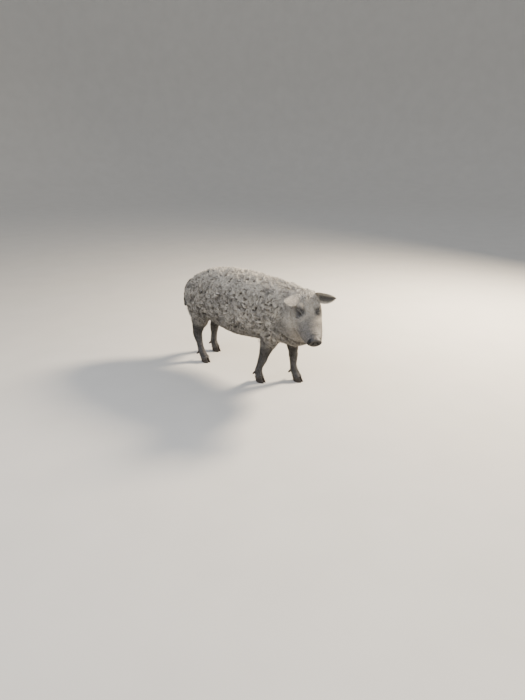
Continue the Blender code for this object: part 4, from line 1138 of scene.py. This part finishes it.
surface.inputs["Sheen Roughness"].default_value = 0.45

# %% [markdown]
# ## The long coat
# Tight whorls on rump and barrel, longer waves falling down shoulder and flank, straighter and shorter hair
# along the crest of the neck. Roots are spread evenly, wider apart where the locks are larger, and each lock
# takes its length, width, rise and curl from the depth of the coat at its root.

# %% How deep the coat is, and how it lies
tree_rows = [(between(TRUNK, 4), None, ROOF)]
tree_rows += [(leg_rows(leg), np.array((0.0, 1.0, 0.0)), 0.0) for leg in LEGS]
ring_spots, ring_depths = [], []
for rows, left, roof in tree_rows:
    ring_spots += rings_of(rows, 16, left, roof)
    ring_depths += [depth for depth in rows[:, 6] for _ in range(16)]
ring_spots = np.vstack(ring_spots)
stations = KDTree(len(ring_spots))
for index, spot in enumerate(ring_spots):
    stations.insert(spot, index)
stations.balance()


def depth_at(points):
    """The coat's depth in metres: from the stations on the body, thinning over the head and face."""
    body = np.array([ring_depths[stations.find(Vector(p))[1]] for p in points])
    x, y, z = in_head(points).T
    head = steps(x, -0.060, 0.020) * (z > HEAD_FLOOR)
    jowl = steps(0.030 - 0.3 * (z + 0.05) - x, -0.030, 0.030) * steps(-z, 0.030, 0.060)
    crown = steps(0.055 - x, 0, 0.05) * steps(z, -0.05, 0.0)
    face = 0.0024 + 0.0098 * jowl + 0.0070 * crown
    return body * (1 - head) + face * head


def lie_at(points, normals):
    """The way the hair lies at each point, as a unit tangent, and how far whorls turn it, in radians."""
    local = in_head(points)
    x, y, z = points.T
    leg = np.clip((0.40 - z) / 0.10, 0, 1)
    fall = 0.25 + 3.6 * np.maximum(0, 0.68 - z)
    body = unit(np.column_stack([-1.0 + 0.9 * leg, 0.25 * np.sign(y) * (z > 0.62), -fall - 2 * leg]))
    drop = -0.30 - 0.6 * steps(-local[:, 2], 0.05, 0.15)
    back = np.column_stack([-np.ones(len(x)), 0.35 * np.sign(local[:, 1]), drop])
    back = unit(back @ np.array(to_body.to_3x3()).T)
    head = (steps(local[:, 0], -0.08, 0.02) * (local[:, 2] > HEAD_FLOOR))[:, None]
    flow = body * (1 - head) + back * head
    flow -= normals * np.sum(flow * normals, axis=1)[:, None]
    sway = 0.7 * np.sin(9 * x + 4 * z) * np.cos(7 * z - 5 * x + 1) * (1 - leg)
    return unit(flow + 1e-6), sway * (1 - 0.7 * head[:, 0])


# %% Locks on trunk, neck, thighs and jowls
SPACING, FULL_DEPTH = 0.0140, 0.026
coat = []


def gap_at(points):
    """How far apart the locks' roots stand: closer where the coat is thinner."""
    return SPACING * np.clip(depth_at(points) / FULL_DEPTH, 0.42, 1.0) ** 0.8


roots, ups = plant(70000, furred, gap_at)
wide = gap_at(roots)
depth = depth_at(roots) * (1 - 0.35 * steps(-ups[:, 2], 0.4, 0.9))
print("long coat:", len(roots), "locks")

flow, sway = lie_at(roots, ups)
x, y, z = roots.T
crest = steps(z, 0.60, 0.73)
straight = np.maximum(crest * (0.5 + 0.5 * steps(x, -0.10, 0.20)), 0.65 * steps(x, 0.02, 0.14) * (z < 0.66))
turn = sway * (1 - 0.6 * straight) + dice.normal(0, 0.34, len(roots)) * (1 - 0.5 * straight)
whorl = np.sign(ripple(roots, 0.13, 8) + dice.normal(0, 0.5, len(roots)))
long_coat = plan_of(
    roots, ups, veer(flow, ups, turn),
    length=(0.013 + 1.30 * depth) * (1 + 0.30 * straight) * dice.uniform(0.75, 1.2, len(roots)),
    curl=whorl * dice.uniform(1.6, 4.2, len(roots)) * (1 - 0.70 * straight),
    wave=0.24 + 0.16 * straight,
    rise=depth * dice.uniform(0.55, 0.98, len(roots)),
    width=0.52 * wide * dice.uniform(0.8, 1.2, len(roots)),
    tip=dice.uniform(0.35, 1.02, len(roots)),
    # the crest's locks get a higher tone and paler roots: paler hair along the top, and a painted highlight
    # where light falls on the back
    tone=0.50 + 0.22 * ripple(roots, 0.10, 9) + dice.normal(0, 0.36, len(roots)) + 0.36 * crest,
    half=0.0020 * np.clip(depth / FULL_DEPTH, 0.5, 1.0),
    pale=0.10 + 0.34 * crest,
)
for side, label in ((1, "left"), (-1, "right")):
    mine = np.flatnonzero(np.sign(y + 0.09 * steps(x, 0.40, 0.60)) == side)
    mine = mine[np.argsort(x[mine])]
    for n, part in enumerate(np.array_split(mine, 4)):
        round_it = np.abs(np.arctan2(y[part], z[part] - 0.53))
        weave(f"coat_{label}_{n + 1}", pick(long_coat, part), spread_out(x[part], round_it), 6, 6, fleece)


# %% [markdown]
# ## Short hair
# On the face, the ears and the lower legs the hair is short and lies flat. The skin's own streaks draw most
# of it. Small single tufts lie over them where light catches the edge of brow, cheek, ear and shank, shorter
# and thinner towards the snout, so that the long coat runs out softly and no border shows.

# %% Short hair on face, lower legs and ears
def eyes_off(local):
    """How far each point in the head's frame is from the nearer eye's middle."""
    return np.min([np.linalg.norm(local - np.array(mirrored(EYE, side)), axis=1) for side in (1, -1)], axis=0)


def on_face(points):
    local = in_head(points)
    x, y, z = local.T
    lips = np.abs(z - mouth_line(x)) < 0.004 * (x > MOUTH_CORNER)
    inside = (x > -0.02) & (x < SNOUT_CUT - 0.004) & (z > HEAD_FLOOR) & (ear_share(points)[0] < 0)
    return inside & ~lips & (eyes_off(local) > 0.0185)


def on_shank(points):
    return (points[:, 2] > CORONET - 0.001) & (points[:, 2] < 0.285) & (tail_share(points) < 0)


roots, ups = plant(26000, on_face, lambda points: 0.0042 + 0.0022 * steps(in_head(points)[:, 0], 0.16, 0.28))
x, y, z = in_head(roots).T
flow, sway = lie_at(roots, ups)
turn = dice.normal(0, 0.22, len(roots))
muzzle = steps(x, 0.10, 0.24)
jowl = steps(0.110 - x, 0.0, 0.07) * steps(-z, 0.030, 0.080)
face_hair = plan_of(
    roots, ups, veer(flow, ups, turn),
    length=(0.0175 - 0.0095 * muzzle + 0.0095 * jowl) * dice.uniform(0.7, 1.2, len(roots)),
    rise=(0.0034 - 0.0028 * muzzle + 0.0026 * jowl) * dice.uniform(0.6, 1.1, len(roots)),
    curl=dice.normal(0, 0.5, len(roots)),
    half=0.00105 - 0.00060 * muzzle + 0.0003 * jowl,
    tone=0.62 + 0.15 * jowl + 0.14 * ripple(roots, 0.05, 11) + dice.normal(0, 0.12, len(roots)),
    pale=0.45,
)
weave("face_hair", face_hair, spread_out(x, np.arctan2(y, z + 0.075)), 1, 3, fleece)

for half, legs in (("fore", (0.10, 0.50)), ("hind", (-0.70, -0.30))):
    def here(points):
        return on_shank(points) & (points[:, 0] > legs[0] - 0.06) & (points[:, 0] < legs[1] + 0.06)

    roots, ups = plant(22000, here, 0.0050)
    low = 1 - steps(roots[:, 2], 0.12, 0.28)
    cuff = 1 - steps(roots[:, 2], 0.046, 0.062)
    down = np.array((0.0, 0.0, -1.0)) - ups * -ups[:, 2:]
    turn = dice.normal(0, 0.20, len(roots))
    ways = unit(down + 1e-6)
    shank_hair = plan_of(
        roots, ups, veer(ways, ups, turn),
        length=(0.026 - 0.014 * low + 0.005 * cuff) * dice.uniform(0.7, 1.2, len(roots)),
        rise=(0.0060 - 0.0044 * low + 0.0050 * cuff) * dice.uniform(0.6, 1.1, len(roots)),
        curl=dice.normal(0, 0.5, len(roots)),
        half=0.0015 - 0.0006 * low,
        tone=0.50 + 0.15 * ripple(roots, 0.05, 12) + dice.normal(0, 0.12, len(roots)),
        pale=0.25,
    )
    weave(f"{half}_shank_hair", shank_hair, spread_out(roots[:, 1], roots[:, 2]), 1, 3, fleece)

roots, ups = plant(9000, lambda points: ear_share(points)[0] >= 0, 0.0042)
local = in_head(roots)
share, rim = ear_share(roots)
ways, inner = np.zeros(roots.shape), np.zeros(len(roots))
for side in (1, -1):
    mine = local[:, 1] * side > 0
    ways[mine] = np.array(to_body.to_3x3() @ EAR_AXIS[side].normalized())
    hollow = np.array((to_body.to_3x3() @ EAR_HOLLOW[side]).normalized())
    # on the rim the hair stays pale: the ear's pale back, and a painted highlight along the upper edge
    inner[mine] = steps(ups[mine] @ hollow, -0.1, 0.35) * (1 - 0.85 * rim[mine])
turn = dice.normal(0, 0.25, len(roots))
ways = unit(ways - ups * np.sum(ways * ups, axis=1)[:, None])
ear_hair = plan_of(
    roots, ups, veer(ways, ups, turn),
    length=(0.015 + 0.009 * inner * (1 - share) + 0.007 * rim) * dice.uniform(0.7, 1.2, len(roots)),
    rise=(0.0026 + 0.002 * inner) * dice.uniform(0.6, 1.1, len(roots)),
    curl=dice.normal(0, 0.4, len(roots)),
    half=0.0010,
    tone=0.92 - 0.3 * inner + dice.normal(0, 0.10, len(roots)),
    pale=0.80 - 0.50 * inner,
    blond=1.0 - 0.85 * inner,
)
weave("ear_hair", ear_hair, spread_out(share * np.sign(local[:, 1]), local[:, 0]), 1, 3, fleece)

# %% [markdown]
# ## Tail brush, lashes and whiskers
# The tail hangs and ends in a brush of long dark hair. Pale lashes stand out over each eye, planted one by
# one along the upper lid, and a pig has stiff whiskers on chin, upper lip and brow, which are scattered.

# %% Tail
roots, ups = plant(1600, lambda points: tail_share(points) >= 0, 0.0060)
share = tail_share(roots)
HANG = np.array((0.10, -0.15, -1.0))
turn = dice.normal(0, 0.30, len(roots))
ways = unit(HANG - ups * (ups @ HANG)[:, None])
tail_hair = plan_of(
    roots, ups, veer(ways, ups, turn),
    length=(0.024 + 0.030 * share) * dice.uniform(0.8, 1.2, len(roots)),
    rise=(0.005 + 0.008 * share) * dice.uniform(0.5, 1.1, len(roots)),
    width=0.004,
    wave=0.25,
    tip=dice.uniform(0.5, 1.4, len(roots)),
    half=0.0014,
    tone=0.45 + dice.normal(0, 0.12, len(roots)),
    blond=1.0 - 0.85 * steps(share, 0.25, 0.70),
)
weave("tail_hair", tail_hair, spread_out(roots[:, 2], ups[:, 1]), 3, 5, fleece)

# %% Lashes and whiskers
HAIR_HALF = 0.00042
roots, ways = [], []
for side in (1, -1):
    gaze, across, rise = eye_frame(side)
    middle = mirrored(EYE, side) + gaze * EYE_RADIUS * LID_SPAN
    for t in np.linspace(0.35, math.pi - 0.35, 17):
        out = across * math.cos(t) * LID_WIDTH + rise * math.sin(t) * 0.94 * LID_HEIGHT
        roots.append(to_body @ (middle + out - gaze * (LID_WRAP * math.cos(t) ** 2 - LID_THICK * 0.8)))
        ways.append(to_body.to_3x3() @ (gaze * 0.75 + out.normalized() * 0.55 + rise * 0.15))
ways = unit(np.array(ways) + dice.normal(0, 0.10, (len(ways), 3)))
ups = np.tile(np.array(to_body.to_3x3() @ Vector((0, 0, 1))), (len(ways), 1))
lashes = plan_of(
    np.array(roots), unit(ups - ways * np.sum(ups * ways, axis=1)[:, None]), ways,
    free=1.0, wave=0.0, length=dice.uniform(0.011, 0.016, len(ways)), rise=0.003, tip=-0.4,
    half=HAIR_HALF, tone=0.8, pale=0.5, blond=1.0,
)
weave("lashes", lashes, spread_out(lashes["root"][:, 1], lashes["root"][:, 2]), 1, 4, fleece)


def chinned(points):
    local = in_head(points)
    x, y, z = local.T
    chin = (x > 0.19) & (x < 0.30) & (z < mouth_line(x) - 0.006)
    lip = (x > 0.20) & (x < SNOUT_CUT - 0.006) & (z > mouth_line(x) + 0.006) & (z < mouth_line(x) + 0.045)
    off = eyes_off(local)
    brow = (off > 0.026) & (off < 0.036) & (z > EYE.z + 0.016) & (x > 0.05)
    return (chin | lip | brow) & (z > FACE_FLOOR)


roots, ups = scatter(230, chinned)
flow, _ = lie_at(roots, ups)
ways = unit(0.75 * ups + 0.45 * flow + np.array((0, 0, -0.35)) + dice.normal(0, 0.18, roots.shape))
sides = unit(np.cross(ways, (0.3, 0.2, 1.0)))
whiskers = plan_of(
    roots, np.cross(ways, sides) * -1, ways,
    free=1.0,
    wave=0.0,
    curl=dice.normal(0, 0.5, len(roots)),
    length=dice.uniform(0.010, 0.024, len(roots)),
    rise=0.002,
    half=HAIR_HALF,
    tone=dice.uniform(0.3, 1.0, len(roots)),
    pale=0.4,
    blond=0.35 + 0.6 * (dice.uniform(size=len(roots)) > 0.4),
)
weave("whiskers", whiskers, spread_out(roots[:, 0], roots[:, 2]), 1, 4, fleece)

# %% [markdown]
# ## Eyes
# A pig's eye is small, round-pupilled and so dark that iris and pupil are hard to tell apart; what makes it
# alive is the wet highlight. The ball is a sphere whose pole looks out of the lids, with the cornea bulged a
# little. Each point knows its angle from that pole, and the colours of pupil, iris and white follow it.

# %% Eyeballs
BULGE = 0.0011
eyeballs = []
for side, label in ((1, "left"), (-1, "right")):
    eyeball = ball(f"eyeball_{label}", (0, 0, 0), [EYE_RADIUS - 0.0002] * 3, 48, 32)
    spots = spots_of(eyeball)
    angle = np.arccos(np.clip(unit(spots)[:, 2], -1, 1))
    place_spots(eyeball, spots + unit(spots) * (BULGE * np.exp(-((angle / 0.50) ** 4)))[:, None])
    turns = eyeball.data.color_attributes.new("from_pupil", "FLOAT_COLOR", "POINT")
    round_pole = np.arctan2(spots[:, 1], spots[:, 0])
    values = np.column_stack([angle / math.pi, np.cos(round_pole), np.sin(round_pole), np.ones(len(spots))])
    turns.data.foreach_set("color", values.astype(np.float32).ravel())
    gaze = mirrored(EYE_LOOK, side)
    facing = Matrix.Translation(mirrored(EYE, side)) @ gaze.to_track_quat("Z", "Y").to_matrix().to_4x4()
    eyeball.data.transform(to_body @ facing)
    only(eyeball)
    bpy.ops.object.shade_smooth()
    eyeballs.append(eyeball)
    print(eyeball.name, "radius", round(1000 * EYE_RADIUS, 1), "mm")

# %% Eye material
wet_eye, tree, surface = new_material("wet dark eye")
mark = add(tree, "Attribute", {"attribute_name": "from_pupil"})
split = add(tree, "SeparateColor", links={"Color": mark.outputs["Color"]})
# spokes of the iris: noise read round the pole, hardly changing outwards
spokes = add(tree, "CombineXYZ", links={"X": split.outputs["Green"], "Y": split.outputs["Blue"]})
rays = add(tree, "TexNoise", {"Scale": 9.0, "Detail": 2.0}, {"Vector": spokes.outputs["Vector"]})
bands = add(
    tree, "ValToRGB",
    {"stops": [(0.0, "#040303"), (0.070, "#050404"), (0.085, "#140c07"), (0.190, "#1e130b"),
               (0.215, "#080504"), (0.250, "#1f1814"), (0.50, "#332923")]},
    {"Fac": split.outputs["Red"]},
)
glints = add(tree, "ValToRGB", {"stops": [(0.3, "#7f7772"), (0.7, "#ffffff")]}, {"Fac": rays.outputs["Fac"]})
iris = add(
    tree, "Mix", {"data_type": "RGBA", "blend_type": "MULTIPLY", "Factor": 1.0},
    {6: bands.outputs["Color"], 7: glints.outputs["Color"]},
)
tree.links.new(iris.outputs[2], surface.inputs["Base Color"])
surface.inputs["Roughness"].default_value = 0.06
surface.inputs["IOR"].default_value = 1.38
surface.inputs["Coat Weight"].default_value = 1.0
surface.inputs["Coat Roughness"].default_value = 0.02
for eyeball in eyeballs:
    eyeball.data.materials.append(wet_eye)

# %% [markdown]
# ## Claws
# A pig walks on two claws of each foot and keeps two small dewclaws higher up at the back. Each is a horn
# shoe on a soft core: pointed and slightly turned in at the front, with faint rings of growth, and worn flat
# below.

# %% Claws and dewclaws
# height and width as shares: the claw's rounded upper rim, and the dewclaw from its root to its tip
CORONET_EDGE = [(0.955, 0.985), (0.985, 0.95), (1.0, 0.90), (0.99, 0.80)]
DEWCLAW_PROFILE = [(0.0, 0.90), (0.2, 0.97), (0.45, 1.0), (0.65, 0.88), (0.82, 0.66), (0.93, 0.40)]
DEWCLAW_PROFILE += [(1.0, 0.10)]


def claw(leg, inner):
    foot = leg_rows(leg)[-1]
    middle_y = foot[1] + inner * (CLAW_HALF + CLAW_SPLIT / 2)
    rings = []
    for high, inside in [(k, 1.0) for k in np.linspace(0, 0.92, 20)] + CORONET_EDGE:
        share = min(high, 1.0)
        toe = CLAW_TOE + (CORONET_TOE - CLAW_TOE) * share
        heel = CLAW_HEEL + (CORONET_HEEL - CLAW_HEEL) * share
        worn = 1 - 0.05 * bell(share, 0.05)
        growth = 1 + 0.010 * math.sin(2 * math.pi * 6.5 * share) * (share > 0.06)
        ring = []
        for t in np.linspace(0, 2 * math.pi, 32, endpoint=False):
            front = max(0.0, math.cos(t))
            point_in = 1 - 0.42 * front**2
            reach = (toe - heel) / 2 * worn * growth * inside
            side_way = CLAW_HALF * worn * growth * inside * math.sin(t) * point_in
            ahead_of = foot[0] + (toe + heel) / 2 + reach * math.cos(t)
            ring.append((ahead_of, middle_y + side_way - inner * 0.004 * front, high * (CORONET - 0.0003)))
        rings.append(np.array(ring))
    return tube("claw", rings)


def dewclaw(leg, inner):
    rows = leg_rows(leg)[::-1]
    spot = [np.interp(DEWCLAW_HEIGHT, rows[:, 2], rows[:, k]) for k in range(6)]
    root = np.array((spot[0] - spot[5] * 0.55, spot[1] + inner * DEWCLAW_SPREAD * 0.8, DEWCLAW_HEIGHT))
    aim = unit(np.array((-0.62, 0.30 * inner, -0.72)))
    across = unit(np.cross(aim, (0, 0, 1)))
    third = np.cross(across, aim)
    rings = []
    for share, fat in DEWCLAW_PROFILE:
        turns = np.linspace(0, 2 * math.pi, 16, endpoint=False)
        middle = root + aim * DEWCLAW_LENGTH * share - third * 0.0012 * math.sin(math.pi * share)
        fat *= DEWCLAW_RADIUS
        rings.append(middle + np.outer(np.cos(turns) * fat, across) + np.outer(np.sin(turns) * fat, third))
    return tube("dewclaw", rings)


shoes = []
for leg in LEGS:
    for inner in (1, -1):
        shoes += [claw(leg, inner), dewclaw(leg, inner)]
claws = join("claws", shoes)
bpy.ops.object.shade_smooth_by_angle(angle=math.radians(50))
print("claws:", len(claws.data.polygons), "faces")

# %% Horn material
horn, tree, surface = new_material("dark hoof horn")
place = add(tree, "TexCoord")
fibres = add(tree, "Mapping", {"Scale": (1.0, 1.0, 0.10)}, {"Vector": place.outputs["Object"]})
# fibres of the horn about a millimetre apart, and rings of growth about six
fine = add(tree, "TexNoise", {"Scale": 900.0, "Detail": 2.0}, {"Vector": fibres.outputs["Vector"]})
growth = add(tree, "Mapping", {"Scale": (0.08, 0.08, 1.0)}, {"Vector": place.outputs["Object"]})
rings_seen = add(tree, "TexNoise", {"Scale": 260.0, "Detail": 3.0}, {"Vector": growth.outputs["Vector"]})
stained = add(tree, "TexNoise", {"Scale": 55.0, "Detail": 4.0}, {"Vector": place.outputs["Object"]})
horn_tone = add(
    tree, "ValToRGB", {"stops": [(0.30, "#1a1614"), (0.55, "#332c27"), (0.80, "#5a5046")]},
    {"Fac": rings_seen.outputs["Fac"]},
)
dust = add(
    tree, "ValToRGB", {"stops": [(0.42, "#ffffff"), (0.75, "#b3a594")]}, {"Fac": stained.outputs["Fac"]}
)
horn_colour = add(
    tree, "Mix", {"data_type": "RGBA", "blend_type": "MULTIPLY", "Factor": 1.0},
    {6: horn_tone.outputs["Color"], 7: dust.outputs["Color"]},
)
tree.links.new(horn_colour.outputs[2], surface.inputs["Base Color"])
worn = add(tree, "MapRange", {"To Min": 0.38, "To Max": 0.62}, {"Value": stained.outputs["Fac"]})
tree.links.new(worn.outputs[0], surface.inputs["Roughness"])
low_relief = add(tree, "Bump", {"Strength": 0.6, "Distance": 0.0008}, {"Height": rings_seen.outputs["Fac"]})
fine_relief = add(
    tree, "Bump", {"Strength": 0.3, "Distance": 0.0003},
    {"Height": fine.outputs["Fac"], "Normal": low_relief.outputs["Normal"]},
)
tree.links.new(fine_relief.outputs["Normal"], surface.inputs["Normal"])
claws.data.materials.append(horn)

# %% Shift everything onto the frame, hang it from the root, hide the solids and count the triangles
pieces = [skin, *coat, *eyeballs, claws]
for piece in pieces:
    piece.data.transform(Matrix.Translation(SHIFT))
    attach(piece, "root")
flesh = ["torso", "neck", "head", "jaw", "snout", "ear_left", "ear_right", "tail"]
flesh += [f"{leg}_{part}" for leg in LEGS for part in ("upper", "lower")]
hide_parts(*flesh)
for eyeball, name in zip(eyeballs, ("eye_left", "eye_right")):
    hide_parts(name)
horns = [f"{leg}_{kind}_{end}" for leg in LEGS for kind in ("claw", "dewclaw") for end in ("left", "right")]
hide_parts(*horns)
low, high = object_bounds()
total = 0
for piece in pieces:
    piece.data.calc_loop_triangles()
    total += len(piece.data.loop_triangles)
print("triangles in all:", total)
print("visual box", [round(1000 * (b - a)) for a, b in zip(low, high)], "mm")
